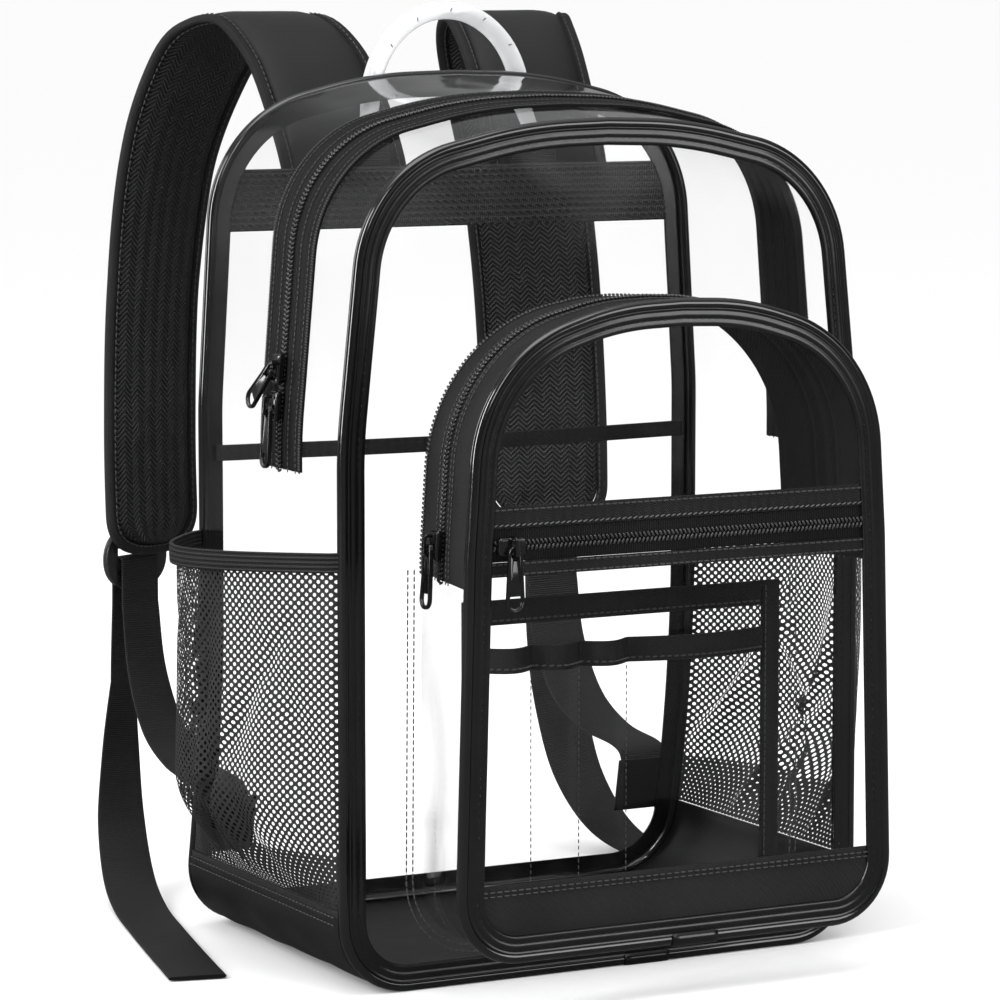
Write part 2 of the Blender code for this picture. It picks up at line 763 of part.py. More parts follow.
def make_front_pocket(parent):
    """The boxed pocket on the front panel. Returns its wall."""
    marks = (("zip_end", POCKET_ZIP_END_HEIGHT),)
    front = Outline(POCKET_WIDTH, POCKET_BOTTOM, POCKET_TOP, POCKET_CORNER, POCKET_ARCH, marks)
    rear = Outline(
        POCKET_REAR_WIDTH,
        POCKET_REAR_BOTTOM,
        POCKET_REAR_TOP,
        POCKET_CORNER,
        POCKET_REAR_ARCH,
        marks,
        like=front,
    )
    wall = Wall(front, rear, POCKET_Y, flat_plane(FRONT_Y - CLEAR_SHEET / 2))
    start = BEAD_RADIUS + FIT_GAP
    inset = SEAM_INSET
    sheet_end = -FIT_GAP
    flange = POCKET_FLANGE_WIDTH - inset
    lower = (
        (start, -inset),
        (sheet_end - CLEAR_SHEET, -inset),
        (sheet_end - CLEAR_SHEET, flange),
        (sheet_end, flange),
        (sheet_end, -inset - CLEAR_SHEET),
        (start, -inset - CLEAR_SHEET),
    )
    rings = wall.rings(under(front, "zip_end"), lower)
    loft("pocket_gusset_lower", rings, clear_vinyl(), parent)
    width = POCKET_DEPTH - CLEAR_SHEET / 2 - start - FIT_GAP
    centre = start + width * POCKET_ZIP_SHARE
    arch = over(front, "zip_end")
    rings = wall.rings(arch, zip_profile(centre, width, -inset - CLOTH_SHEET))
    for ring in (rings[0], rings[-1]):
        for point in ring:
            point.z += FIT_GAP
    loft("pocket_zip_gusset", rings, black_cloth(), parent)
    plane = flat_plane(POCKET_Y)
    piping("pocket_piping", front, plane, -1, parent)
    piping_joint("pocket_piping_joint", front, POCKET_Y, POCKET_JOINT_SHARE, parent)
    layers = (
        ("pocket_base_panel", POCKET_BOTTOM, POCKET_PANEL_TOP, CLOTH_SHEET, black_cloth()),
        ("pocket_window_lower", POCKET_PANEL_TOP, BAND_LOW, CLEAR_SHEET, clear_vinyl()),
        ("pocket_band_bottom", BAND_LOW, BAND_ZIP_LOW, CLOTH_SHEET, black_cloth()),
        ("pocket_band_top", BAND_ZIP_HIGH, BAND_HIGH, CLOTH_SHEET, black_cloth()),
        ("pocket_window_upper", BAND_HIGH, POCKET_TOP, CLEAR_SHEET, clear_vinyl()),
    )
    for name, low, high, thickness, material in layers:
        plate(name, front, low + FIT_GAP, high, plane, thickness, material, parent)
    middle = (BAND_ZIP_LOW + BAND_ZIP_HIGH) / 2
    half = front.half_width(BAND_ZIP_HIGH, PANEL_INSET + BINDING_WIDTH + FIT_GAP)
    profile = zip_profile(middle, BAND_ZIP_HIGH - BAND_ZIP_LOW - 2 * FIT_GAP, -CLOTH_SHEET / 2)
    rings = [[Vector((x, POCKET_Y - out, z)) for z, out in profile] for x in (-half, half)]
    loft("pocket_band_zip", rings, black_cloth(), parent)
    return wall


def make_organiser(parent):
    """The sheet with slots on the front panel, inside the pocket, and its bindings."""
    left = ORGANISER_LEFT + ORGANISER_SIDE_BINDING
    right = ORGANISER_RIGHT - ORGANISER_SIDE_BINDING
    back_y = FRONT_Y - CLEAR_SHEET / 2 - FIT_GAP - CLEAR_SHEET
    face_y = back_y - FIT_GAP
    args = (ORGANISER_BOTTOM, ORGANISER_TOP, back_y, CLEAR_SHEET, clear_vinyl(), parent)
    box_sheet("organiser_back", left, right, *args)
    low = ORGANISER_TOP - ORGANISER_BINDING
    args = (low, ORGANISER_TOP, face_y - CLOTH_SHEET, CLOTH_SHEET, black_cloth(), parent)
    box_sheet("organiser_top_binding", left, right, *args)

    seams = [left + SLOT_WIDTH * k for k in range(SLOT_COUNT + 1)] + [right]
    xs = []
    for a, b in zip(seams, seams[1:]):
        xs += [a + (b - a) * s / SLOT_STEPS for s in range(SLOT_STEPS)]
    xs.append(right)

    def puff(x, z):
        a, b = next((a, b) for a, b in zip(seams, seams[1:]) if x <= b)
        rise = (z - ORGANISER_BOTTOM) / (SLOT_TOP - ORGANISER_BOTTOM)
        across = math.sin(math.pi * (x - a) / (b - a))
        return SLOT_PUFF * across * math.sin(rise * math.pi / 2)

    def wavy(name, low, high, skin_low, skin_high, material, rows):
        outer, inner = [], []
        for r in range(rows + 1):
            z = low + (high - low) * r / rows
            outer.append([Vector((x, face_y - puff(x, z) - skin_high, z)) for x in xs])
            inner.append([Vector((x, face_y - puff(x, z) - skin_low, z)) for x in xs])
        sheet(name, outer, inner, material, parent)

    args = (ORGANISER_BOTTOM, SLOT_TOP, 0, CLEAR_SHEET, clear_vinyl(), SLOT_ROWS)
    wavy("organiser_front", *args)
    skin = CLEAR_SHEET + FIT_GAP
    args = (SLOT_TOP - ORGANISER_BINDING, SLOT_TOP, skin, skin + CLOTH_SHEET, black_cloth(), 1)
    wavy("organiser_slot_binding", *args)
    sides = (
        ("organiser_side_binding_left", ORGANISER_LEFT, left - FIT_GAP),
        ("organiser_side_binding_right", right + FIT_GAP, ORGANISER_RIGHT),
    )
    thickness = CLOTH_SHEET + CLEAR_SHEET
    y = back_y + CLEAR_SHEET - thickness
    args = (ORGANISER_BOTTOM, ORGANISER_TOP, y, thickness, black_cloth(), parent)
    for name, a, b in sides:
        box_sheet(name, a, b, *args)


def make_sleeve(back, parent):
    """The flat clear sleeve inside the back panel and the hem on its rim."""
    columns = SLEEVE_COLUMNS
    inset = PANEL_INSET + SLEEVE_MARGIN
    span = SLEEVE_TOP - BASE_SEAM_HEIGHT

    def grid(low, high, skin, rows):
        out = []
        for r in range(rows + 1):
            z = low + (high - low) * r / rows
            half = back.half_width(max(z, PANEL_CORNER), inset)
            rise = math.sin(math.pi / 2 * (z - BASE_SEAM_HEIGHT) / span)
            row = []
            for c in range(columns + 1):
                share = c / columns
                puff = SLEEVE_PUFF * math.sin(math.pi * share) * rise
                y = back_plane(z) - CLEAR_SHEET / 2 - FIT_GAP - puff - skin
                row.append(Vector((half * (2 * share - 1), y, z)))
            out.append(row)
        return out

    hem_low = SLEEVE_TOP - SLEEVE_HEM
    args = (BASE_SEAM_HEIGHT, hem_low - FIT_GAP)
    outer, inner = grid(*args, CLEAR_SHEET, SLEEVE_ROWS), grid(*args, 0, SLEEVE_ROWS)
    sheet("inner_sleeve", outer, inner, clear_vinyl(), parent)
    args = (hem_low, SLEEVE_TOP)
    outer, inner = grid(*args, CLOTH_SHEET, 1), grid(*args, 0, 1)
    sheet("inner_sleeve_hem", outer, inner, black_cloth(), parent)


def make_back_band(back, parent):
    """The webbing band across the back panel."""
    half = back.half_width(BACK_BAND_HIGH, PANEL_INSET + BINDING_WIDTH + FIT_GAP)
    y = BACK_Y + CLEAR_SHEET / 2 + FIT_GAP
    args = (BACK_BAND_LOW, BACK_BAND_HIGH, y, WEBBING_SHEET, black_webbing(), parent)
    box_sheet("back_band", -half, half, *args)
    return y + WEBBING_SHEET


def make_handle(band_face, parent):
    """The clear carrying loop and the two webbing tabs that hold its feet."""
    tab_y = band_face + FIT_GAP
    for name, side in SIDES:
        middle = side * HANDLE_TAB_SPACING / 2
        left, right = middle - HANDLE_TAB_WIDTH / 2, middle + HANDLE_TAB_WIDTH / 2
        args = (BACK_BAND_LOW, HANDLE_FOOT - FIT_GAP, tab_y, WEBBING_SHEET, black_webbing(), parent)
        box_sheet(f"handle_tab_{name}", left, right, *args)
    radius = HANDLE_SPAN / 2
    spring = HANDLE_FOOT + HANDLE_TAPER
    rise = HANDLE_TOP - HANDLE_THICKNESS / 2 - spring
    foot_y = tab_y + WEBBING_SHEET / 2
    loop_y = BACK_Y + HANDLE_SETBACK
    stations = []
    for share, size in HANDLE_FEET:
        x = (HANDLE_TAB_SPACING + (HANDLE_SPAN - HANDLE_TAB_SPACING) * share) / 2
        y = foot_y + (loop_y - foot_y) * share
        stations.append((Vector((-x, y, HANDLE_FOOT + HANDLE_TAPER * share)), Vector((-1, 0, 0)), size))
    for k in range(HANDLE_STEPS + 1):
        angle = math.pi * k / HANDLE_STEPS
        place = Vector((-radius * math.cos(angle), loop_y, spring + rise * math.sin(angle)))
        out = Vector((-rise * math.cos(angle), 0, radius * math.sin(angle))).normalized()
        stations.append((place, out, 1.0))
    for place, out, size in stations[: len(HANDLE_FEET)][::-1]:
        mirrored = Vector((-place.x, place.y, place.z))
        stations.append((mirrored, -out, size))
    rings = []
    for place, out, size in stations:
        ring = []
        for k in range(HANDLE_SIDES):
            angle = 2 * math.pi * (k + 0.5) / HANDLE_SIDES
            across = out * (math.cos(angle) * HANDLE_THICKNESS / 2)
            deep = BACKWARD * (math.sin(angle) * HANDLE_DEPTH / 2 * size)
            ring.append(place + across + deep)
        rings.append(ring)
    loft("handle", rings, clear_vinyl(), parent)


def strap_ribbon(band_face, side):
    """The route of a strap from the band to its lower end."""
    tab_face = band_face + FIT_GAP + WEBBING_SHEET
    foot = tab_face + FIT_GAP + STRAP_SEWN_THICKNESS / 2 - BACK_Y
    rows = [
        (foot, BACK_BAND_LOW + FIT_GAP, 0, 0),
        (foot, (BACK_BAND_LOW + BACK_BAND_HIGH) / 2, 0, 0),
        (foot + STRAP_THICKNESS / 4, BACK_BAND_HIGH + FIT_GAP, 0, 0),
    ]
    for row in STRAP_ROWS:
        height = STRAP_END + (STRAP_CREST - STRAP_END) * row.rise_share
        out = row.splay_share * STRAP_SPLAY
        rows.append((STRAP_REACH * row.reach_share, height, out, row.turn))
    half = STRAP_SPACING / 2
    points = [Vector((side * (half + out), BACK_Y + back, z)) for back, z, out, _ in rows]
    turns = spread([turn for _, _, _, turn in rows], ROUTE_STEPS)
    return Ribbon(smooth_route(points, ROUTE_STEPS), turns, side)


def strap_edge(ribbon, inset):
    """(length, half width) stations along one edge of a strap inside an inset line, to its round end."""
    run = ribbon.length - STRAP_END_ROUND
    half = STRAP_WIDTH / 2 - inset
    stations = [(run * k / STRAP_STATIONS, half) for k in range(STRAP_STATIONS)]
    power = 2 / STRAP_END_POWER
    for k in range(STRAP_END_STATIONS + 1):
        angle = math.pi / 2 * k / STRAP_END_STATIONS
        length = run + (STRAP_END_ROUND - inset) * math.sin(angle) ** power
        stations.append((length, half * max(0.0, math.cos(angle)) ** power))
    return stations


def make_strap(name, ribbon, parent):
    """A padded strap and the binding that runs round its edge."""
    band = BACK_BAND_HIGH - BACK_BAND_LOW
    edge = STRAP_RIM / 2
    rings = []
    for along, half in strap_edge(ribbon, STRAP_BINDING + 2 * FIT_GAP)[:-1]:
        swell = min(1.0, max(0.0, along / band - 1))
        t = (STRAP_SEWN_THICKNESS + (STRAP_THICKNESS - STRAP_SEWN_THICKNESS) * swell) / 2
        flat = half - min(STRAP_BINDING, half / 2)
        corners = [(-half, -edge), (-flat, -t), (flat, -t), (half, -edge)]
        corners += [(half, edge), (flat, t), (-flat, t), (-half, edge)]
        rings.append([ribbon.point(along, across, out) for across, out in corners])
    loft(f"strap_pad_{name}", rings, black_cloth(), parent)

    line = strap_edge(ribbon, 0)
    route = [(s, -half) for s, half in line] + [(s, half) for s, half in reversed(line[:-1])]
    rings = []
    skin = STRAP_BINDING_THICKNESS / 2
    for k, (s, a) in enumerate(route):
        before, after = route[max(k - 1, 0)], route[min(k + 1, len(route) - 1)]
        along = Vector((after[0] - before[0], after[1] - before[1])).normalized()
        inner_s = s - along.y * STRAP_BINDING
        inner_a = a + along.x * STRAP_BINDING
        low = ((s, a, -skin), (inner_s, inner_a, -skin))
        high = ((inner_s, inner_a, skin), (s, a, skin))
        rings.append([ribbon.point(*corner) for corner in low + high])
    loft(f"strap_binding_{name}", rings, black_webbing(), parent)


def round_bar(clear):
    """(out, up) places of a band that comes up one side of a buckle's bar, over it and down again."""
    side = LOCK_THICKNESS / 2
    top = LOCK_BAR / 2
    slant = clear * BEND_SLANT
    out = side + clear
    half = [(out, 0), (out, top), (side + slant, top + slant), (side, top + clear)]
    return [(-out, up) for out, up in half] + half[::-1]


def make_lock(name, ribbon, side, parent):
    """The buckle at the strap's lower end, and the loop that holds it to the strap."""
    end, across, _ = ribbon.frames[-1]
    face = across.cross(-UP)
    back = STRAP_THICKNESS / 2 + LOCK_CLEAR + WEBBING_SHEET + FIT_GAP + LOCK_THICKNESS / 2
    top_bar = end.z + LOCK_OUT
    centre = Vector((end.x, end.y, top_bar - LOCK_HEIGHT / 2 + LOCK_BAR / 2))
    centre = centre + face * back + across * side * LOCK_DROP
    inner = WEBBING_WIDTH / 2 + 2 * FIT_GAP
    slot = (LOCK_HEIGHT - 3 * LOCK_BAR) / 2
    half = LOCK_HEIGHT / 2
    rows = [-half, -half + LOCK_BAR, -half + LOCK_BAR + slot]
    rows += [half - LOCK_BAR - slot, half - LOCK_BAR, half]
    columns = [-LOCK_WIDTH / 2, -inner, inner, LOCK_WIDTH / 2]
    bm = cell_plate(columns, rows, {(1, 1), (3, 1)}, LOCK_THICKNESS, lambda r: LOCK_TAPER[r])
    lock = add_object(f"ladder_lock_{name}", bm, black_plastic(), parent)
    lock.matrix_basis = frame_matrix(centre, across, face, UP)

    bar = centre + UP * (half - LOCK_BAR / 2)
    clear = 2 * FIT_GAP + WEBBING_SHEET / 2
    out = LOCK_THICKNESS / 2 + clear
    spots = [(-out, LOCK_HEIGHT)] + [(o, -up) for o, up in round_bar(clear)]
    spots += [(out, LOCK_BAR), (-out + WEBBING_SHEET + FIT_GAP, LOCK_HEIGHT)]
    route = [bar + face * o + UP * z for o, z in spots]
    turn = [math.degrees(math.asin(across.y)) * -side] * len(route)
    loop = Ribbon(route, turn, side)
    rings = loop.flat_rings(LOOP_WIDTH, WEBBING_SHEET)
    loft(f"buckle_loop_{name}", rings, black_webbing(), parent)
    return centre, across, face


def frame_matrix(place, x_axis, y_axis, z_axis):
    turn = Matrix((x_axis, y_axis, z_axis)).transposed().to_4x4()
    return Matrix.Translation(place) @ turn


def make_webbing(name, side, lock, parent):
    """The webbing from its anchor up through the buckle, and the free end down to the ground."""
    centre, across, face = lock
    corner = BAG_WIDTH / 2 - BEAD_DIAMETER - BINDING_WIDTH - FIT_GAP
    x = side * (corner - WEBBING_WIDTH / 2 + BINDING_WIDTH)
    clear = CLEAR_SHEET / 2 + 3 * FIT_GAP + BINDING_SHEET
    anchor_low = ANCHOR_HEIGHT
    anchor_high = ANCHOR_HEIGHT + ANCHOR_RISE
    rows = 2
    outer, inner = [], []
    for r in range(rows + 1):
        z = anchor_low + (anchor_high - anchor_low) * r / rows
        y = back_plane(z) + clear
        half = WEBBING_WIDTH / 2 + ANCHOR_MARGIN
        xs = (x - half, x + half)
        outer.append([Vector((s, y + CLOTH_SHEET, z)) for s in xs])
        inner.append([Vector((s, y, z)) for s in xs])
    sheet(f"strap_anchor_{name}", outer, inner, black_webbing(), parent)

    stand = clear + CLOTH_SHEET + FIT_GAP + WEBBING_SHEET / 2
    lock_out = LOCK_THICKNESS / 2 + 3 * FIT_GAP + WEBBING_SHEET / 2
    lock_turn = math.degrees(math.asin(across.y)) * -side
    up_run = []
    for r, lift in enumerate((0, FIT_GAP, 5 * FIT_GAP)):
        z = anchor_low + ANCHOR_RISE * r / rows
        up_run.append((Vector((x, back_plane(z) + stand + lift, z)), 0))
    under = centre - face * lock_out - UP * WEBBING_DROP
    start = up_run[-1][0]
    way = under - start
    for row in SAG_ROWS:
        step = Vector((way.x * row.back_share, way.y * row.back_share, way.z * row.rise_share))
        up_run.append((start + step, lock_turn * row.back_share))
    up_run.append((under, lock_turn))
    over_bar = round_bar(3 * FIT_GAP + WEBBING_SHEET / 2)
    bend = [(centre + face * o + UP * z, lock_turn) for o, z in over_bar]
    fall = centre + face * (lock_out + TAIL_START) - UP * WEBBING_DROP
    down = [(fall, lock_turn + TAIL_TURN)]
    floor = TAIL_LIFT + WEBBING_SHEET / 2
    for row in TAIL_ROWS:
        z = floor + (fall.z - floor) * row.height_share
        y = fall.y - TAIL_FORWARD * row.forward_share
        tail_x = fall.x + side * TAIL_OUT * row.out_share
        down.append((Vector((tail_x, y, z)), row.turn))
    route, turns = [], []
    for run, steps in ((up_run, ROUTE_STEPS), (bend, 1), (down, ROUTE_STEPS)):
        points = [place for place, _ in run]
        route += smooth_route(points, steps)
        turns += spread([turn for _, turn in run], steps)
    ribbon = Ribbon(route, turns, side)
    rings = ribbon.flat_rings(WEBBING_WIDTH, WEBBING_SHEET)
    loft(f"strap_webbing_{name}", rings, black_webbing(), parent)


def side_spot(wall, height, depth, offset):
    """A frame on the left of a wall, at a height: place, upward tangent and outward normal."""
    line = [wall.point(k, depth, offset) for k in range(wall.front.right_count, wall.front.count)]
    pairs = zip(line[1:], line)
    low, high = next((low, high) for low, high in pairs if low.z <= height <= high.z)
    up = (high - low).normalized()
    place = low.lerp(high, (height - low.z) / (high.z - low.z))
    return place, up, up.cross(BACKWARD).normalized()


def make_slider(name, place, up, out, body_turn, pull_tilt, parent):
    """A zip slider with its bail, and the pull that swings on the bail."""
    across = out.cross(up)
    frame = frame_matrix(place, across, out, up)
    size = (SLIDER_WIDTH, SLIDER_HEIGHT, SLIDER_LENGTH)
    body = box_mesh(size, (0, SLIDER_HEIGHT / 2, 0), SLIDER_HEIGHT / 4)
    turn = Matrix.Rotation(math.radians(body_turn), 3, "Y")
    bmesh.ops.rotate(body, cent=(0, 0, 0), matrix=turn, verts=body.verts)
    slider = add_object(name, body, black_metal(), parent)
    slider.matrix_basis = frame

    tilt = Matrix.Rotation(math.radians(pull_tilt), 4, "Y")
    rise = BAIL_RISE
    half = BAIL_LENGTH / 2
    sink = SLIDER_HEIGHT / 2
    bail = cell_plate(
        [-half, -half + BAIL_BAR, half - BAIL_BAR, half],
        [-sink, rise - BAIL_BAR, rise],
        {(0, 1)},
        BAIL_WIDTH,
        lambda r: BAIL_TAPER if r == 2 else 1.0,
    )
    bmesh.ops.recalc_face_normals(bail, faces=bail.faces)
    cutter = bpy.data.objects.new(f"{name}_bail", bpy.data.meshes.new(f"{name}_bail"))
    bail.to_mesh(cutter.data)
    bail.free()
    bpy.context.collection.objects.link(cutter)
    cutter.parent = parent
    stand = Matrix.Translation((0, SLIDER_HEIGHT, 0)) @ tilt
    lean = Matrix(((0, 1, 0, 0), (0, 0, 1, 0), (1, 0, 0, 0), (0, 0, 0, 1)))
    cutter.matrix_basis = frame @ stand @ lean
    cutter.hide_render = True
    cutter.display_type = "WIRE"
    union = slider.modifiers.new("bail", "BOOLEAN")
    union.operation = "UNION"
    union.solver = "EXACT"
    union.object = cutter

    axis_out = SLIDER_HEIGHT + (rise - BAIL_BAR) / 2
    neck = PULL_NECK / PULL_WIDTH
    eye = PULL_EYE_WIDTH / 2 / neck
    columns = [-PULL_WIDTH / 2, -eye, eye, PULL_WIDTH / 2]
    bar = PULL_BAR / 2
    hole_end = -half - BAIL_BAR / 2
    slot = [-PULL_LENGTH * PULL_SLOT_TOP, -PULL_LENGTH * PULL_SLOT_END]
    rows = [bar, -bar, hole_end, *slot, -PULL_LENGTH]
    taper = (neck, neck, neck, 1.0, 1.0, PULL_TIP)
    bm = cell_plate(columns, rows, {(1, 1), (3, 1)}, PULL_BAR, lambda r: taper[r])
    pull = add_object(name.replace("slider", "pull"), bm, black_metal(), parent)
    pull.matrix_basis = frame @ Matrix.Translation((0, axis_out, 0)) @ tilt


def make_sliders(wall, pocket_wall, parent):
    """Two sliders on the main zip, one on the pocket's zip and one on the pocket's front band."""
    top = -SEAM_INSET + FIT_GAP + CLOTH_SHEET + COIL_HEIGHT + FIT_GAP
    for name, height, tilt in (
        ("main_slider_upper", UPPER_SLIDER_HEIGHT, UPPER_PULL_TILT),
        ("main_slider_lower", LOWER_SLIDER_HEIGHT, 0),
    ):
        place, up, out = side_spot(wall, height, ZIP_CENTRE_DEPTH, top)
        make_slider(name, place, up, out, 0, tilt, parent)
    start = BEAD_RADIUS + FIT_GAP
    width = POCKET_DEPTH - CLEAR_SHEET / 2 - start - FIT_GAP
    depth = start + width * POCKET_ZIP_SHARE
    top = -SEAM_INSET + COIL_HEIGHT + 2 * FIT_GAP
    place, up, out = side_spot(pocket_wall, POCKET_SLIDER_HEIGHT, depth, top)
    make_slider("pocket_slider", place, up, out, 0, 0, parent)
    y = POCKET_Y - CLOTH_SHEET / 2 - COIL_HEIGHT - FIT_GAP
    x = BAND_SLIDER_INSET - POCKET_WIDTH / 2
    place = Vector((x, y, (BAND_ZIP_LOW + BAND_ZIP_HIGH) / 2))
    make_slider("band_slider", place, UP, -BACKWARD, 90, 0, parent)


def build():
    clear_scene()
    bag = make_empty("backpack", (0, 0, 0), None)
    flare = [(f"flare_{k}", height) for k, height in enumerate(FLARE_HEIGHTS)]
    marks = [("seam", BASE_SEAM_HEIGHT)] + flare + [("zip_end", ZIP_END_HEIGHT)]
    front = Outline(BAG_WIDTH, 0, FRONT_HEIGHT, PANEL_CORNER, FRONT_ARCH, marks)
    back = Outline(BAG_WIDTH, 0, BACK_HEIGHT, PANEL_CORNER, BACK_ARCH, marks, like=front)
    wall = Wall(front, back, FRONT_Y, back_plane)
    make_panels(front, back, bag)
    make_gusset(wall, bag)
    make_mesh_pockets(wall, bag)
    make_sleeve(back, bag)
    pocket_wall = make_front_pocket(bag)
    make_organiser(bag)
    band_face = make_back_band(back, bag)
    make_handle(band_face, bag)
    for name, side in SIDES:
        ribbon = strap_ribbon(band_face, side)
        make_strap(name, ribbon, bag)
        lock = make_lock(name, ribbon, side, bag)
        make_webbing(name, side, lock, bag)
    make_sliders(wall, pocket_wall, bag)


build()
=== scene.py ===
# %% [markdown]
# # A clear backpack with black trim
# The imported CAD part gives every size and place. This lesson dresses it: each soft CAD solid is replaced
# by a finer piece that lies where the solid lies, with a material made of nodes. Film, cloth, mesh,
# zips, thread and hardware each get their own way of being made.

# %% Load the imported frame
import json
import math

import bmesh
import bpy
import numpy as np
from mathutils import Matrix, Vector


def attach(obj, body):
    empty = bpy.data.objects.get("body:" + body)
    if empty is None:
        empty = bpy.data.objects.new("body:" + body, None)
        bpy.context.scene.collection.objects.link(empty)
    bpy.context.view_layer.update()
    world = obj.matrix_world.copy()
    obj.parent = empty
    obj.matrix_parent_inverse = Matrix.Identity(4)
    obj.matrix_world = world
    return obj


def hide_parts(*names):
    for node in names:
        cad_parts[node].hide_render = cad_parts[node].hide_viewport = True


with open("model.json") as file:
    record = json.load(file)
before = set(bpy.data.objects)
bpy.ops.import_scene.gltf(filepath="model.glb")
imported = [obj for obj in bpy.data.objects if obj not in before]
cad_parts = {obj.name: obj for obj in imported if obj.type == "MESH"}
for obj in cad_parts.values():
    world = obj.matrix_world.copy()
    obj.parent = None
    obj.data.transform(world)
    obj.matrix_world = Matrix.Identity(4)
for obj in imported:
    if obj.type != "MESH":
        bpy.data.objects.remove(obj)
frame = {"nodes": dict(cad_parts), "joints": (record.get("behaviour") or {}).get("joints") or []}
nodes = frame["nodes"]
pulls = [joint["child"] for joint in frame["joints"]]
bpy.context.view_layer.update()

# %% [markdown]
# ## Camera
# The photograph looks a little down on the bag from its left, with a long lens. The place was worked out
# from the directions in which the bag's edges run together. It comes first, so that every piece can be
# judged in the same view.

# %% Camera
LENS_MM, SENSOR_MM, LOOK_DOWN, LOOK_RIGHT = 156.4, 36.0, 6.774, 28.0
camera_data = bpy.data.cameras.new("camera")
camera_data.lens, camera_data.sensor_width = LENS_MM, SENSOR_MM
camera = bpy.data.objects.new("camera", camera_data)
camera.location = (-1.08638, -2.0258, 0.507)
camera.rotation_euler = (math.radians(90 - LOOK_DOWN), 0, math.radians(-LOOK_RIGHT))
bpy.context.scene.collection.objects.link(camera)
bpy.context.scene.camera = camera
print("camera at", tuple(camera.location))

# %% [markdown]
# ## Sizes of the bag
# These are the driving sizes of the CAD part, in metres. The bag's front faces -Y. An arch is a table of
# corners, as shares of half the width and of the height, with the share of half the width that rounds it.

# %% Sizes
BAG_WIDTH, FRONT_HEIGHT, BACK_HEIGHT = 0.305, 0.440, 0.461
FRONT_Y, BACK_Y, POCKET_Y = -0.0975, 0.0705, -0.1735
BASE_FLARE, FLARE_HEIGHT, SEAM_HEIGHT, ZIP_END = 0.027, 0.200, 0.044, 0.262
BEAD, BIND_SHEET, GAP = 0.003, 0.0022, 0.0003
WALL_START, SEAM_START = 0.0024, 0.0006
POCKET_WIDTH, POCKET_LOW, POCKET_HIGH, POCKET_ZIP_END = 0.253, 0.027, 0.353, 0.214
FRAMES = {
    "front": (BAG_WIDTH, 0.0, FRONT_HEIGHT, 0.038),
    "back": (BAG_WIDTH, 0.0, BACK_HEIGHT, 0.038),
    "pocket": (POCKET_WIDTH, POCKET_LOW, POCKET_HIGH, 0.034),
    "pocket_rear": (0.220, 0.0225, 0.351, 0.034),
}
ARCHES = {
    "front": ((1.0, 0.636, 2.0), (0.905, 0.949, 0.46), (0.3, 0.997, 1.7)),
    "back": ((1.0, 0.62, 2.0), (0.94, 0.949, 0.48), (0.34, 0.997, 1.7)),
    "pocket": ((0.955, 0.62, 1.2), (0.905, 0.922, 0.6), (0.3, 0.996, 1.2)),
    "pocket_rear": ((0.985, 0.62, 1.2), (0.92, 0.952, 0.8), (0.15, 0.998, 1.0)),
}


def unit(v):
    return v / np.maximum(np.linalg.norm(v, axis=-1, keepdims=True), 1e-12)


def bell(distance, width):
    """1 in the middle, and close to 0 beyond twice the width."""
    return np.exp(-((distance / width) ** 2))


def circle(count):
    return np.linspace(0, 2 * math.pi, count, endpoint=False)


def squared(share, power):
    """A sine or cosine whose rounds are made fuller, for a rounded square."""
    return np.sign(share) * np.abs(share) ** power


def between(first, last, count):
    """Points on the straight lines from one set of points to another."""
    share = np.linspace(0, 1, count)[None, :, None]
    return first * (1 - share) + last * share


def back_plane(z):
    share = np.clip(1.0 - np.asarray(z, float) / FLARE_HEIGHT, 0.0, None)
    return BACK_Y + BASE_FLARE * share * share


def flat(y):
    return lambda z: np.full(np.shape(z), y)


# %% [markdown]
# ## Outlines
# Every panel, wall and piping follows one of four outlines. An outline starts at its bottom centre and
# goes round anticlockwise. Two outlines of a wall have their points at the same places, so a wall
# between them is a simple grid.

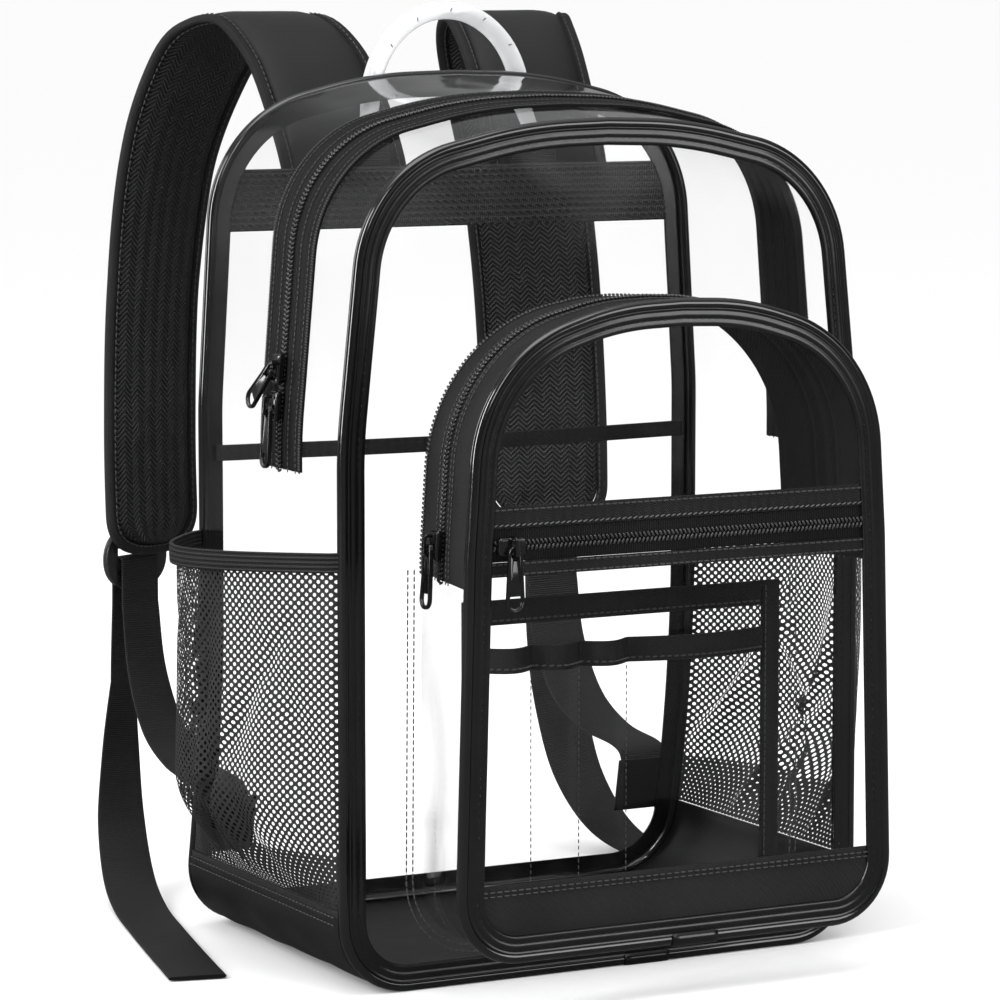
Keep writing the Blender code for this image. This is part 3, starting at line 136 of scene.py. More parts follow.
# %% Outlines and walls
class Outline:
    def __init__(self, name, heights):
        width, bottom, top, corner = FRAMES[name]
        half, rise = width / 2, top - bottom
        spots = [(0, bottom, 0), (half, bottom, corner)]
        spots += [(half * a, bottom + rise * b, half * r) for a, b, r in ARCHES[name]] + [(0, top, 0)]
        straight, arcs = {1: 14, 3: 10, 4: 8}, {1: 14, 2: 8, 3: 20, 4: 10}
        line = [np.array(spots[0][:2], float)]
        for k in range(1, len(spots) - 1):
            before, here, after = (np.array(spots[j][:2], float) for j in (k - 1, k, k + 1))
            into, out = unit(here - before), unit(after - here)
            turn = math.acos(float(np.clip(into @ out, -1, 1)))
            start = here - into * spots[k][2] * math.tan(turn / 2)
            first = line[-1]
            if k == 2:
                shares = [(h - first[1]) / (start[1] - first[1]) for h in heights]
            else:
                shares = [s / straight[k] for s in range(1, straight[k])]
            line += [first + (start - first) * s for s in shares]
            centre = start + np.array((-into[1], into[0])) * spots[k][2]
            arm = start - centre
            for s in range(arcs[k] + 1):
                cosine, sine = math.cos(turn * s / arcs[k]), math.sin(turn * s / arcs[k])
                line.append(centre + (arm[0] * cosine - arm[1] * sine, arm[0] * sine + arm[1] * cosine))
        top_point = np.array(spots[-1][:2], float)
        line += [line[-1] + (top_point - line[-1]) * s / 8 for s in range(1, 9)]
        right = np.array(line)
        self.right = len(right)
        self.p = np.vstack([right, right[-2:0:-1] * (-1, 1)])
        self.n = unit(np.roll(self.p, -1, 0) - np.roll(self.p, 1, 0))[:, ::-1] * (1, -1)
        self.n[0], self.n[self.right - 1] = (0, -1), (0, 1)
        self.count = len(self.p)

    def mark(self, height):
        """The place on the right side that is at a height."""
        return next(k for k in range(16, self.right) if self.p[k, 1] >= height - 1e-7)

    def over(self, height):
        k = self.mark(height)
        return np.arange(k, self.count - k + 1)

    def under(self, height):
        k = self.mark(height)
        return np.concatenate([np.arange(self.count - k, self.count), np.arange(0, k + 1)])

    def half_width(self, height, inset=0.0):
        line = (self.p - self.n * inset)[14 : self.right]
        return np.interp(height, line[:, 1], line[:, 0])


class Wall:
    def __init__(self, front, back, front_y, back_y):
        self.front, self.back, self.front_y, self.back_y = front, back, front_y, back_y

    def flat_at(self, k, share, offset):
        share = share[..., None]
        spot = self.front.p[k][:, None] * (1 - share) + self.back.p[k][:, None] * share
        normal = unit(self.front.n[k][:, None] * (1 - share) + self.back.n[k][:, None] * share)
        return spot + normal * np.broadcast_to(offset, share.shape[:2])[..., None]

    def at(self, k, depth, offset):
        """Points at a depth behind the front plane, or before the back one where depth is under 0."""
        k, depth = np.atleast_1d(k), np.atleast_1d(np.asarray(depth, float))
        span = (self.back_y(self.back.p[k][:, 1]) - self.front_y)[:, None]
        spot = self.flat_at(k, depth[None] / span + (depth < 0)[None], offset)
        y = np.where(depth[None] < 0, self.back_y(spot[..., 1]), self.front_y) + depth[None]
        return np.stack([spot[..., 0], y, spot[..., 1]], -1)

    def across(self, k, shares, offset, start):
        """Points at shares of the way from just behind the front bead to just before the back one."""
        span = (self.back_y(self.back.p[k][:, 1]) - self.front_y)[:, None]
        spot = self.flat_at(k, (start + (span - 2 * start) * shares[None]) / span, offset)
        far = self.back_y(spot[..., 1]) - start
        y = self.front_y + start + (far - self.front_y - start) * shares[None]
        return np.stack([spot[..., 0], y, spot[..., 1]], -1)


side_heights = [SEAM_HEIGHT] + list(np.linspace(0.051, 0.255, 30)) + [ZIP_END]
pocket_heights = list(np.linspace(0.070, 0.206, 18)) + [POCKET_ZIP_END]
front = Outline("front", side_heights)
back = Outline("back", side_heights)
pocket = Outline("pocket", pocket_heights)
pocket_rear = Outline("pocket_rear", pocket_heights)
body_wall = Wall(front, back, FRONT_Y, back_plane)
pocket_wall = Wall(pocket, pocket_rear, POCKET_Y, flat(FRONT_Y - 0.0005))
print("outline points", front.count, pocket.count)

# %% [markdown]
# ## From a grid of points to a piece
# Most pieces are a grid: rows along the piece, columns across it. The UV map is in metres, so that a
# weave or a rib has its real size wherever it is used.


def new_piece(name, mesh, finish, cad):
    """A piece that takes the place of a CAD solid, and with it that solid's body. The solid is hidden."""
    mesh.materials.clear()
    mesh.materials.append(finish)
    mesh.shade_smooth()
    piece = bpy.data.objects.new(name.replace(" ", "_"), mesh)
    bpy.context.scene.collection.objects.link(piece)
    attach(piece, cad if cad in pulls else "bag")
    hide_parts(cad)
    return piece


def run_length(points):
    """Length along each grid direction, in metres, for a UV map."""
    steps = (np.linalg.norm(np.diff(points, axis=axis), axis=-1).mean(1 - axis) for axis in (0, 1))
    return [np.concatenate([[0], np.cumsum(step)]) for step in steps]


def grid_piece(name, points, finish, cad, ring_u=False, ring_v=False, flip=False):
    """A piece from rows and columns of points, closed round in either direction if asked."""
    rows, columns = points.shape[:2]
    u, v = run_length(points)
    gap_u = np.linalg.norm(points[0] - points[-1], axis=-1).mean()
    gap_v = np.linalg.norm(points[:, 0] - points[:, -1], axis=-1).mean()
    u, v = np.append(u, u[-1] + gap_u), np.append(v, v[-1] + gap_v)
    r, c = np.meshgrid(np.arange(rows - 1 + ring_u), np.arange(columns - 1 + ring_v), indexing="ij")
    r, c = r.ravel(), c.ravel()
    corners = [(r, c), (r, c + 1), (r + 1, c + 1), (r + 1, c)][:: -1 if flip else 1]
    faces = np.stack([(a % rows) * columns + b % columns for a, b in corners], -1)
    mesh = bpy.data.meshes.new(name)
    mesh.from_pydata(points.reshape(-1, 3).tolist(), [], faces.tolist())
    uv = np.stack([np.stack([u[a], v[b]], -1) for a, b in corners], 1)
    mesh.uv_layers.new(name="UVMap").data.foreach_set("uv", uv.astype(np.float32).ravel())
    return new_piece(name, mesh, finish, cad)


def tube_piece(name, points, finish, cad):
    """Rings of points joined into a closed body, with both ends capped."""
    rows, columns = points.shape[:2]
    piece = grid_piece(name, points, finish, cad, ring_v=True)
    bm = bmesh.new()
    bm.from_mesh(piece.data)
    bm.verts.ensure_lookup_table()
    for first in (0, (rows - 1) * columns):
        bm.faces.new([bm.verts[first + c] for c in range(columns)])
    bmesh.ops.recalc_face_normals(bm, faces=bm.faces)
    bm.to_mesh(piece.data)
    bm.free()
    return piece


def thicken(piece, thickness, soften=0.0003, offset=-1.0):
    wall = piece.modifiers.new("thickness", "SOLIDIFY")
    wall.thickness, wall.offset = thickness, offset
    edge = piece.modifiers.new("soft edge", "BEVEL")
    edge.width, edge.segments, edge.limit_method = soften, 2, "ANGLE"
    edge.angle_limit = math.radians(50)


def ripple(a, b, seed, size):
    """A smooth, repeatable unevenness from a few waves, from -1 to 1."""
    rng = np.random.default_rng(seed)
    total = np.zeros(np.broadcast(a, b).shape)
    for k in range(5):
        angle, phase = rng.uniform(0, 2 * math.pi, 2)
        wave = 2 * math.pi / size * rng.uniform(0.6, 1.6)
        total = total + np.sin((a * math.cos(angle) + b * math.sin(angle)) * wave + phase)
    return total / 5


# %% [markdown]
# ## Shader groups
# A weave shows the same way on several cloths, at other sizes. It is one node group that reads a UV in
# metres and puts out a height and a shade: the tops of the threads lighter, a painted highlight, and the
# hollows between them darker, a painted shade. A second group gives slow unevenness and dust, for the same
# reason. The shaders themselves stay in each material.

# %% Node helpers
def plug(tree, made, inputs):
    """Each input of a node gets a link or a value."""
    for key, value in inputs.items():
        if isinstance(value, bpy.types.NodeSocket):
            tree.links.new(value, made.inputs[key])
        else:
            made.inputs[key].default_value = value


def node(tree, kind, inputs=None, **settings):
    made = tree.nodes.new(kind)
    for key, value in settings.items():
        setattr(made, key, value)
    plug(tree, made, inputs or {})
    return made


def calc(tree, operation, *values, clamp=False):
    inputs = dict(enumerate(values))
    return node(tree, "ShaderNodeMath", inputs, operation=operation, use_clamp=clamp).outputs[0]


def new_group(name, place, sizes, outputs):
    """A group that reads a place and some sizes, each with its usual value."""
    tree = bpy.data.node_groups.new(name, "ShaderNodeTree")
    tree.interface.new_socket(name=place, in_out="INPUT", socket_type="NodeSocketVector")
    for label, value in sizes.items():
        socket = tree.interface.new_socket(name=label, in_out="INPUT", socket_type="NodeSocketFloat")
        socket.default_value = value
    for label in outputs:
        tree.interface.new_socket(name=label, in_out="OUTPUT", socket_type="NodeSocketFloat")
    return tree, tree.nodes.new("NodeGroupInput").outputs, tree.nodes.new("NodeGroupOutput")


def ridges(tree, way, pitch):
    """Round ridges of a pitch along a way, from 0 to 1."""
    return calc(tree, "ABSOLUTE", calc(tree, "SINE", calc(tree, "MULTIPLY", way, math.pi / pitch)))


def make_weave():
    """Warp and weft threads as rounded ridges. Step 1 is a plain weave, 2 a twill."""
    tree, given, out = new_group("Woven threads", "UV", {"Thread": 0.0006, "Step": 1.0}, ["Height", "Shade"])
    axes = node(tree, "ShaderNodeSeparateXYZ", {0: given["UV"]})
    u, v = (calc(tree, "DIVIDE", axes.outputs[k], given["Thread"]) for k in (0, 1))
    steps = calc(tree, "ADD", calc(tree, "FLOOR", u), calc(tree, "FLOOR", v))
    place = calc(tree, "FLOORED_MODULO", steps, calc(tree, "MULTIPLY", given["Step"], 2.0))
    on_top = calc(tree, "LESS_THAN", place, given["Step"])
    under = calc(tree, "MULTIPLY", ridges(tree, v, 1.0), calc(tree, "SUBTRACT", 1.0, on_top))
    height = calc(tree, "MULTIPLY_ADD", ridges(tree, u, 1.0), on_top, under)
    # Painted light: the tops of the threads are painted lighter, a painted highlight, and the hollows
    # darker, a painted shade.
    shade = calc(tree, "MULTIPLY_ADD", calc(tree, "POWER", height, 2.5), 0.88, 0.12)
    plug(tree, out, {"Height": height, "Shade": shade})
    return tree


def make_unevenness():
    """Slow blotches and fine dust, both from 0 to 1."""
    tree, given, out = new_group("Unevenness", "Place", {"Blotch": 18.0, "Dust": 900.0}, ["Slow", "Fine"])
    for label, scale, detail in (("Slow", "Blotch", 3.0), ("Fine", "Dust", 2.0)):
        inputs = {"Vector": given["Place"], "Scale": given[scale], "Detail": detail}
        noise = node(tree, "ShaderNodeTexNoise", inputs)
        tree.links.new(noise.outputs[0], out.inputs[label])
    return tree


woven_threads, unevenness = make_weave(), make_unevenness()
print("groups", woven_threads.name, unevenness.name)

# %% [markdown]
# ## Finishes
# Black cloth isn't one black: the tops of its threads are painted lighter, a painted highlight, and the
# hollows between them darker, a painted shade; and the surface turns slightly grey where it is rubbed.
# Each finish starts from a Principled shader, and its colour, roughness and bump come from nodes.

# %% Finishes
def start_finish(name):
    """A shader on its output, and the coordinates that it may read."""
    material = bpy.data.materials.new(name)
    material.use_nodes = True
    tree = material.node_tree
    tree.nodes.clear()
    shader = tree.nodes.new("ShaderNodeBsdfPrincipled")
    tree.links.new(shader.outputs[0], tree.nodes.new("ShaderNodeOutputMaterial").inputs[0])
    return material, tree, shader, tree.nodes.new("ShaderNodeTexCoord").outputs


def uneven_at(tree, place, blotch=18.0, dust=900.0):
    """Slow and fine unevenness on the object, at the sizes given."""
    inputs = {"Place": place["Object"], "Blotch": blotch, "Dust": dust}
    return node(tree, "ShaderNodeGroup", inputs, node_tree=unevenness).outputs


def shade_between(tree, factor, low, high):
    mix = node(tree, "ShaderNodeMix", {0: factor, 6: (*low, 1), 7: (*high, 1)}, data_type="RGBA")
    return mix.outputs[2]


def relief_of(tree, height):
    return node(tree, "ShaderNodeBump", {"Strength": 1.0, "Distance": 1.0, "Height": height}).outputs[0]


def cloth_finish(name, light, thread, step, rough, bump, shine=0.2, sheen=0.0, ribs=None):
    """Woven cloth, from black in the hollows to a light tone on the tops of its threads: painted shade and
    painted highlight. Ribs, if any, are a pitch, a depth, the direction that they cross (0 or 1) and, for a
    herringbone, the width of the columns they turn in."""
    material, tree, shader, place = start_finish(name)
    uneven = uneven_at(tree, place)
    inputs = {"UV": place["UV"], "Thread": thread, "Step": step}
    weave = node(tree, "ShaderNodeGroup", inputs, node_tree=woven_threads).outputs
    height = calc(tree, "MULTIPLY", weave["Height"], bump)
    # The tone is the painted light of the threads, times slow blotches of random tone.
    tone = calc(tree, "MULTIPLY", weave["Shade"], calc(tree, "ADD", 0.45, uneven["Slow"]))
    if ribs:
        pitch, depth, along, column = ribs
        axes = node(tree, "ShaderNodeSeparateXYZ", {0: place["UV"]}).outputs
        axis = axes[along]
        if column:
            axis = calc(tree, "ADD", axis, calc(tree, "PINGPONG", axes[1 - along], column))
        wave = ridges(tree, axis, pitch)
        height = calc(tree, "MULTIPLY_ADD", calc(tree, "POWER", wave, 0.6), depth, height)
        # The tops of the ribs are painted lighter and their sides darker: painted highlight and painted
        # shade.
        crest_highlight = calc(tree, "MULTIPLY_ADD", calc(tree, "POWER", wave, 4.0), 0.9, 0.1)
        tone = calc(tree, "MULTIPLY", tone, crest_highlight)
    inputs = {
        "Base Color": shade_between(tree, tone, INK, light), "Normal": relief_of(tree, height),
        "Roughness": calc(tree, "MULTIPLY_ADD", uneven["Fine"], 0.16, rough - 0.08),
        "Sheen Weight": sheen, "Sheen Roughness": 0.4, "Specular IOR Level": shine,
    }
    plug(tree, shader, inputs)
    return material


def moulded_finish(name, dark, light, rough, bump=0.00004, metal=0.0, coat=0.0):
    """Vinyl, plastic or paint: smooth, with slow patches of gloss and a faint grain."""
    material, tree, shader, place = start_finish(name)
    uneven = uneven_at(tree, place, blotch=30.0, dust=160.0)
    inputs = {
        "Base Color": shade_between(tree, uneven["Slow"], dark, light),
        "Roughness": calc(tree, "MULTIPLY_ADD", uneven["Fine"], rough * 0.5, rough * 0.75),
        "Normal": relief_of(tree, calc(tree, "MULTIPLY", uneven["Fine"], bump)),
        "Metallic": metal, "Specular IOR Level": 0.45, "Coat Weight": coat, "Coat Roughness": 0.06,
    }
    plug(tree, shader, inputs)
    return material


def film_finish(name, clear, edge, power, relief_m=0.0012, scale=9.0):
    """Clear vinyl film: it mirrors more the flatter it is seen, and its waves break up what it mirrors."""
    material, tree, shader, place = start_finish(name)
    slow = node(tree, "ShaderNodeTexNoise", {"Vector": place["Object"], "Scale": scale, "Detail": 2.0})
    relief = relief_of(tree, calc(tree, "MULTIPLY", slow.outputs[0], relief_m))
    facing = node(tree, "ShaderNodeLayerWeight", {"Blend": 0.5, "Normal": relief}).outputs["Facing"]
    rim = calc(tree, "POWER", facing, power)
    alpha = calc(tree, "MULTIPLY_ADD", rim, edge, clear, clamp=True)
    inputs = {"Base Color": (0.93, 0.94, 0.95, 1), "Metallic": 1.0, "Roughness": 0.07}
    plug(tree, shader, {**inputs, "Alpha": alpha, "Normal": relief})
    return material


def frosted_finish(name):
    """Milky clear vinyl, whiter at the rim of the tube, where light has more of it to cross."""
    material, tree, shader, place = start_finish(name)
    uneven = uneven_at(tree, place, blotch=60.0)
    facing = node(tree, "ShaderNodeLayerWeight", {"Blend": 0.5}).outputs["Facing"]
    inputs = {
        "Base Color": shade_between(tree, uneven["Slow"], (0.62, 0.63, 0.64), (0.86, 0.87, 0.88)),
        "Alpha": calc(tree, "MULTIPLY_ADD", calc(tree, "POWER", facing, 1.4), 0.55, 0.42, clamp=True),
        "Roughness": calc(tree, "MULTIPLY_ADD", uneven["Fine"], 0.1, 0.16),
    }
    plug(tree, shader, inputs)
    return material


# INK is the black between the threads. The light tone given to each cloth below is the painted highlight on
# the tops of its threads and ribs.
INK, SOOT = (0.0008, 0.0008, 0.0009), (0.0045, 0.0045, 0.0048)
COAL, ASH, SLATE = (0.022, 0.022, 0.0225), (0.045, 0.045, 0.046), (0.10, 0.10, 0.105)
bead_vinyl = moulded_finish("bead vinyl", INK, SOOT, 0.15, coat=0.6)
bound_vinyl = moulded_finish("binding vinyl", INK, SOOT, 0.24, bump=0.00006, coat=0.2)
tray_cloth = cloth_finish("tray cloth", SOOT, 0.00045, 1.0, 0.42, 0.00005, shine=0.35)
twill = cloth_finish("pocket twill", COAL, 0.0006, 2.0, 0.60, 0.00022, shine=0.25)
zip_tape = cloth_finish("zip tape", COAL, 0.0006, 2.0, 0.62, 0.00018, ribs=(0.0013, 0.0002, 1, 0))
webbing = cloth_finish("webbing", ASH, 0.0007, 1.0, 0.55, 0.0001, shine=0.3, ribs=(0.0012, 0.0004, 0, 0))
band_cloth = cloth_finish("ribbed band", ASH, 0.0012, 2.0, 0.6, 0.0004, shine=0.3)
hem_cloth = cloth_finish("hem tape", ASH, 0.0008, 1.0, 0.6, 0.0002, ribs=(0.0022, 0.0003, 1, 0))
strap_cloth = cloth_finish("strap cloth", SOOT, 0.0005, 1.0, 0.5, 0.00006, shine=0.35, sheen=0.03)
edge_tape = cloth_finish("edge tape", ASH, 0.0007, 2.0, 0.5, 0.0001, ribs=(0.0013, 0.0004, 0, 0.0028))
herringbone = (0.0028, 0.0010, 0, 0.0046)
lining_cloth = cloth_finish("strap lining", ASH, 0.0011, 2.0, 0.5, 0.0002, shine=0.35, ribs=herringbone)
mesh_yarn = cloth_finish("mesh yarn", COAL, 0.0005, 1.0, 0.5, 0.00008, shine=0.35)
# The black thread and the coil teeth run at random between two greys lighter than the cloth. The blotches
# are random tone; their lightness above black is a painted highlight.
black_thread = moulded_finish("black thread", COAL, ASH, 0.38)
grey_thread = moulded_finish("grey thread", ASH, SLATE, 0.5)
coil_nylon = moulded_finish("coil nylon", SOOT, ASH, 0.22, coat=0.3)
black_paint = moulded_finish("slider paint", INK, SOOT, 0.16, metal=0.2, coat=0.6)
lock_plastic = moulded_finish("lock plastic", SOOT, COAL, 0.30)
handle_vinyl = frosted_finish("handle vinyl")
film = film_finish("clear film", clear=0.004, edge=0.8, power=4.0)
wall_film = film_finish("wall film", clear=0.006, edge=1.7, power=6.0, relief_m=0.0016, scale=11.0)
slot_film = film_finish("slot film", clear=0.014, edge=0.7, power=3.5, relief_m=0.0008, scale=25.0)
print("finishes", len(bpy.data.materials))

# %% [markdown]
# ## What repeats along a seam
# Stitches, zip teeth and sewn beads are small shapes at an even pitch along a line. One Geometry Nodes
# tree does them all: the line becomes a curve, is cut to an even pitch, and carries a copy of a pattern
# shape at each point, turned to the line and to the way out of the surface. The result is then made
# into a plain mesh.

# %% Repeats along a line
def bean(name, length, width, height, rings=4, sides=6):
    """A small rounded bar along X that lies on Z = 0. A few dozen faces are enough at this size."""
    verts, faces = [(-length / 2, 0, height / 2)], []
    for r in range(rings):
        a = math.pi * (r + 1) / (rings + 1)
        reach, girth = -math.cos(a) * length / 2, math.sin(a) ** 0.5
        for b in circle(sides):
            wide, high = math.cos(b) * width / 2 * girth, math.sin(b) * height / 2 * girth
            verts.append((reach, wide, height / 2 + high))
    verts.append((length / 2, 0, height / 2))
    last = 1 + (rings - 1) * sides
    for s in range(sides):
        t = (s + 1) % sides
        faces.append((0, 1 + t, 1 + s))
        for base in range(1, last, sides):
            faces.append((base + s, base + t, base + sides + t, base + sides + s))
        faces.append((last + s, last + t, len(verts) - 1))
    mesh = bpy.data.meshes.new(name)
    mesh.from_pydata(verts, [], faces)
    mesh.shade_smooth()
    return mesh


def join_meshes(name, meshes, places):
    bm = bmesh.new()
    for mesh, place in zip(meshes, places):
        start = len(bm.verts)
        bm.from_mesh(mesh)
        bm.verts.ensure_lookup_table()
        bmesh.ops.transform(bm, matrix=place, verts=bm.verts[start:])
    joined = bpy.data.meshes.new(name)
    bm.to_mesh(joined)
    bm.free()
    joined.shade_smooth()
    return joined


def slanted(turn, along=0.0, across=0.0):
    """Where a bar lies in a pattern: turned from the line by some degrees, and moved."""
    return Matrix.Translation((along, across, 0)) @ Matrix.Rotation(math.radians(turn), 4, "Z")


def new_geometry_tree(name, kinds):
    tree = bpy.data.node_groups.new(name, "GeometryNodeTree")
    for label, kind in (("Geometry", "Geometry"), *kinds.items()):
        tree.interface.new_socket(name=label, in_out="INPUT", socket_type="NodeSocket" + kind)
    tree.interface.new_socket(name="Geometry", in_out="OUTPUT", socket_type="NodeSocketGeometry")
    return tree, tree.nodes.new("NodeGroupInput").outputs


def end_tree(tree, copies, finish, weld=0.0):
    """Copies become real, are welded where they meet if asked, get their material and leave the tree."""
    real = node(tree, "GeometryNodeRealizeInstances", {0: copies.outputs[0]})
    if weld:
        real = node(tree, "GeometryNodeMergeByDistance", {0: real.outputs[0], "Distance": weld})
    painted = node(tree, "GeometryNodeSetMaterial", {"Geometry": real.outputs[0], "Material": finish})
    tree.links.new(painted.outputs[0], tree.nodes.new("NodeGroupOutput").inputs[0])
    return tree


def run_tree(thing, tree, values):
    """The mesh that a tree makes of an object. Inputs are set by their identifiers, and the object goes."""
    bpy.context.scene.collection.objects.link(thing)
    tool = thing.modifiers.new("nodes", "NODES")
    tool.node_group = tree
    for item in tree.interface.items_tree:
        if item.in_out == "INPUT" and item.name in values:
            tool[item.identifier] = values[item.name]
    scene_now = bpy.context.evaluated_depsgraph_get()
    mesh = bpy.data.meshes.new_from_object(thing.evaluated_get(scene_now))
    bpy.data.objects.remove(thing)
    return mesh


def make_repeat_tree():
    kinds = {"Pattern": "Object", "Pitch": "Float", "Lift": "Float", "Finish": "Material"}
    tree, given = new_geometry_tree("Repeat along a seam", kinds)
    out = node(tree, "GeometryNodeInputNamedAttribute", {"Name": "out"}, data_type="FLOAT_VECTOR")
    out = out.outputs["Attribute"]
    curve = node(tree, "GeometryNodeMeshToCurve", {"Mesh": given["Geometry"]}).outputs[0]
    inputs = {"Curve": curve, "Length": given["Pitch"]}
    even = node(tree, "GeometryNodeResampleCurve", inputs, mode="LENGTH").outputs[0]
    lift = node(tree, "ShaderNodeVectorMath", {0: out, "Scale": given["Lift"]}, operation="SCALE")
    lifted = node(tree, "GeometryNodeSetPosition", {"Geometry": even, "Offset": lift.outputs[0]})
    inputs = {"Primary Axis": out, "Secondary Axis": tree.nodes.new("GeometryNodeInputTangent").outputs[0]}
    turn = node(tree, "FunctionNodeAxesToRotation", inputs, primary_axis="Z", secondary_axis="X")
    pattern = node(tree, "GeometryNodeObjectInfo", {"Object": given["Pattern"]}).outputs["Geometry"]
    inputs = {"Points": lifted.outputs[0], "Instance": pattern, "Rotation": turn.outputs[0]}
    copies = node(tree, "GeometryNodeInstanceOnPoints", inputs)
    return end_tree(tree, copies, given["Finish"])


repeat_tree = make_repeat_tree()


def repeat_along(name, lines, pattern_mesh, pitch, finish, cad, lift=0.0, closed=False):
    """One piece with the pattern along one or more lines. Each line is its points and the ways out there."""
    meshes = []
    pattern = bpy.data.objects.new(name + " pattern", pattern_mesh)
    bpy.context.scene.collection.objects.link(pattern)
    values = {"Pattern": pattern, "Pitch": pitch, "Lift": lift, "Finish": finish}
    for points, ways in lines:
        count = len(points)
        mesh = bpy.data.meshes.new(name + " line")
        edges = [(k, (k + 1) % count) for k in range(count if closed else count - 1)]
        mesh.from_pydata(np.asarray(points, float).tolist(), edges, [])
        ways = unit(np.broadcast_to(np.asarray(ways, float), (count, 3)))
        layer = mesh.attributes.new("out", "FLOAT_VECTOR", "POINT")
        layer.data.foreach_set("vector", ways.astype(np.float32).ravel())
        meshes.append(run_tree(bpy.data.objects.new(name + " line", mesh), repeat_tree, values))
    bpy.data.objects.remove(pattern)
    return new_piece(name, join_meshes(name, meshes, [Matrix.Identity(4)] * len(meshes)), finish, cad)


def slanted_bar(name, length, width, height, *places):
    bar = bean(name + " bar", length, width, height, rings=3)
    return join_meshes(name, [bar] * len(places), [slanted(*place) for place in places])


FACING = (0, -1, 0)
stitch = bean("stitch", 0.0031, 0.0009, 0.0008)
stitch_small = bean("small stitch", 0.0023, 0.0007, 0.0006)
dash = join_meshes("dash", [bean("dash bar", 0.0027, 0.0008, 0.0006)], [slanted(22)])
coil_tooth = slanted_bar("coil tooth", 0.0032, 0.0014, 0.0018, (62, 0.0, -0.0014), (-62, 0.0008, 0.0014))
knurl = slanted_bar("knurl", 0.0026, 0.0010, 0.0008, (70,))
overlock = slanted_bar("overlock", 0.0034, 0.0017, 0.0014, (72,))
tick = slanted_bar("tick", 0.0026, 0.0007, 0.0004, (65,))
TOOTH_PITCH, KNURL_PITCH, BEAD_PITCH, TICK_PITCH = 0.0023, 0.0015, 0.0023, 0.0185
print("patterns", [(m.name, len(m.polygons)) for m in (stitch, coil_tooth, knurl, overlock)])

# %% [markdown]
# ## Piping
# Piping is a cord inside a folded strip of vinyl, sewn into a seam. It gives a clear bag its black
# outline. The cord shows as a round, glossy bead. The strip beside it lies flat, and a row of thread
# holds it. The bead is a ring of circles and the strip a ring of flattened shapes.

# %% Piping
STRIP_NEAR, STRIP_FAR, STRIP_ROWS = 0.0044, 0.0142, 22
STRIP_BACK, STRIP_EDGE, STRIP_RIDGES = 0.0008, 0.0011, 2.5
STITCH_IN, STITCH_UP = 0.0102, 0.0023


def ring_profile(line, keys, offsets, ys):
    """A profile carried round an outline: offsets go along the outward normal, ys are places in Y."""
    p, n = line.p[keys], line.n[keys]
    spot = p[:, None] + n[:, None] * np.asarray(offsets)[None, :, None]
    return np.stack([spot[..., 0], np.broadcast_to(ys, spot.shape[:2]), spot[..., 1]], -1)


def add_piping(name, line, plane, side):
    """side is -1 for a front, where the strip lies on the -Y side of the panel, and 1 for a back."""
    keys, turn = np.arange(line.count), circle(16)
    height = plane(line.p[:, 1])[:, None]
    bead = ring_profile(line, keys, BEAD * (np.cos(turn) - 1), height + BEAD * np.sin(turn)[None])
    grid_piece(name + " bead", bead, bead_vinyl, name, ring_u=True, ring_v=True, flip=True)
    share = np.linspace(0, 1, STRIP_ROWS)
    crown = STRIP_BACK + BIND_SHEET * (0.78 + 0.22 * np.abs(np.sin(STRIP_RIDGES * math.pi * share)) ** 0.6)
    crown[0] = crown[-1] = STRIP_EDGE
    width = STRIP_FAR - STRIP_NEAR
    offsets = np.concatenate([width * share - STRIP_FAR, -STRIP_NEAR - width * share])
    rise = np.concatenate([crown, np.full(STRIP_ROWS, STRIP_BACK)])[None]
    wave = 0.00018 * ripple(line.p[:, :1], line.p[:, 1:], 5, 0.05) * (rise > (STRIP_BACK + STRIP_EDGE) / 2)
    strip = ring_profile(line, keys, offsets, height + side * (rise + wave))
    grid_piece(name + " strip", strip, bound_vinyl, name, ring_u=True, ring_v=True, flip=side > 0)
    middle = ring_profile(line, keys, [-STITCH_IN], height + side * STITCH_UP)[:, 0]
    seam = [(middle, (0, side, 0))]
    repeat_along(name + " stitches", seam, stitch_small, 0.0042, bound_vinyl, name, closed=True)


add_piping("front_piping", front, flat(FRONT_Y), -1)
add_piping("back_piping", back, back_plane, 1)
add_piping("pocket_piping", pocket, flat(POCKET_Y), -1)


def add_joint_sleeve(name, line, plane_y, share, length=0.026, wall=0.0012):
    """The short sleeve that covers the two ends of a bead, on its bottom run."""
    middle, bottom = share * line.p[14, 0], line.p[0, 1] + BEAD
    turn = np.radians(np.linspace(0, 62, 9))
    arc = np.stack([-np.sin(turn), np.cos(turn)], -1)
    lip = BEAD + 0.0002
    profile = np.vstack([(lip, BEAD + 0.0011), arc * (BEAD + wall), arc[::-1] * BEAD, (lip, BEAD)])
    rings = []
    for s in np.linspace(-1, 1, 15):
        up, out = profile.T
        swell = 1.0 - 0.10 * abs(s) ** 8
        x = np.full(len(profile), middle + s * length / 2)
        rings.append(np.stack([x, plane_y - out * swell, bottom + up * swell], -1))
    tube_piece(name + " sleeve", np.array(rings), bound_vinyl, name)


add_joint_sleeve("front_piping_joint", front, FRONT_Y, 0.21)
add_joint_sleeve("pocket_piping_joint", pocket, POCKET_Y, 0.09)
print("piping done")

# %% [markdown]
# ## Film panels and walls
# The clear parts are one thickness of film. Such a film is made here as a single open surface, because
# light then passes it once, as it does on the real bag. Each one billows by a millimetre or two, as film
# that was folded for packing does, and lies inside the room that the CAD solid leaves.

# %% Film
PANEL_INSET = 0.0063
WINDOW_LOW, WINDOW_HIGH, WINDOW_ARCH_LOW, WINDOW_ARCH_RISE = 0.0673, 0.2195, 0.2548, 0.0919


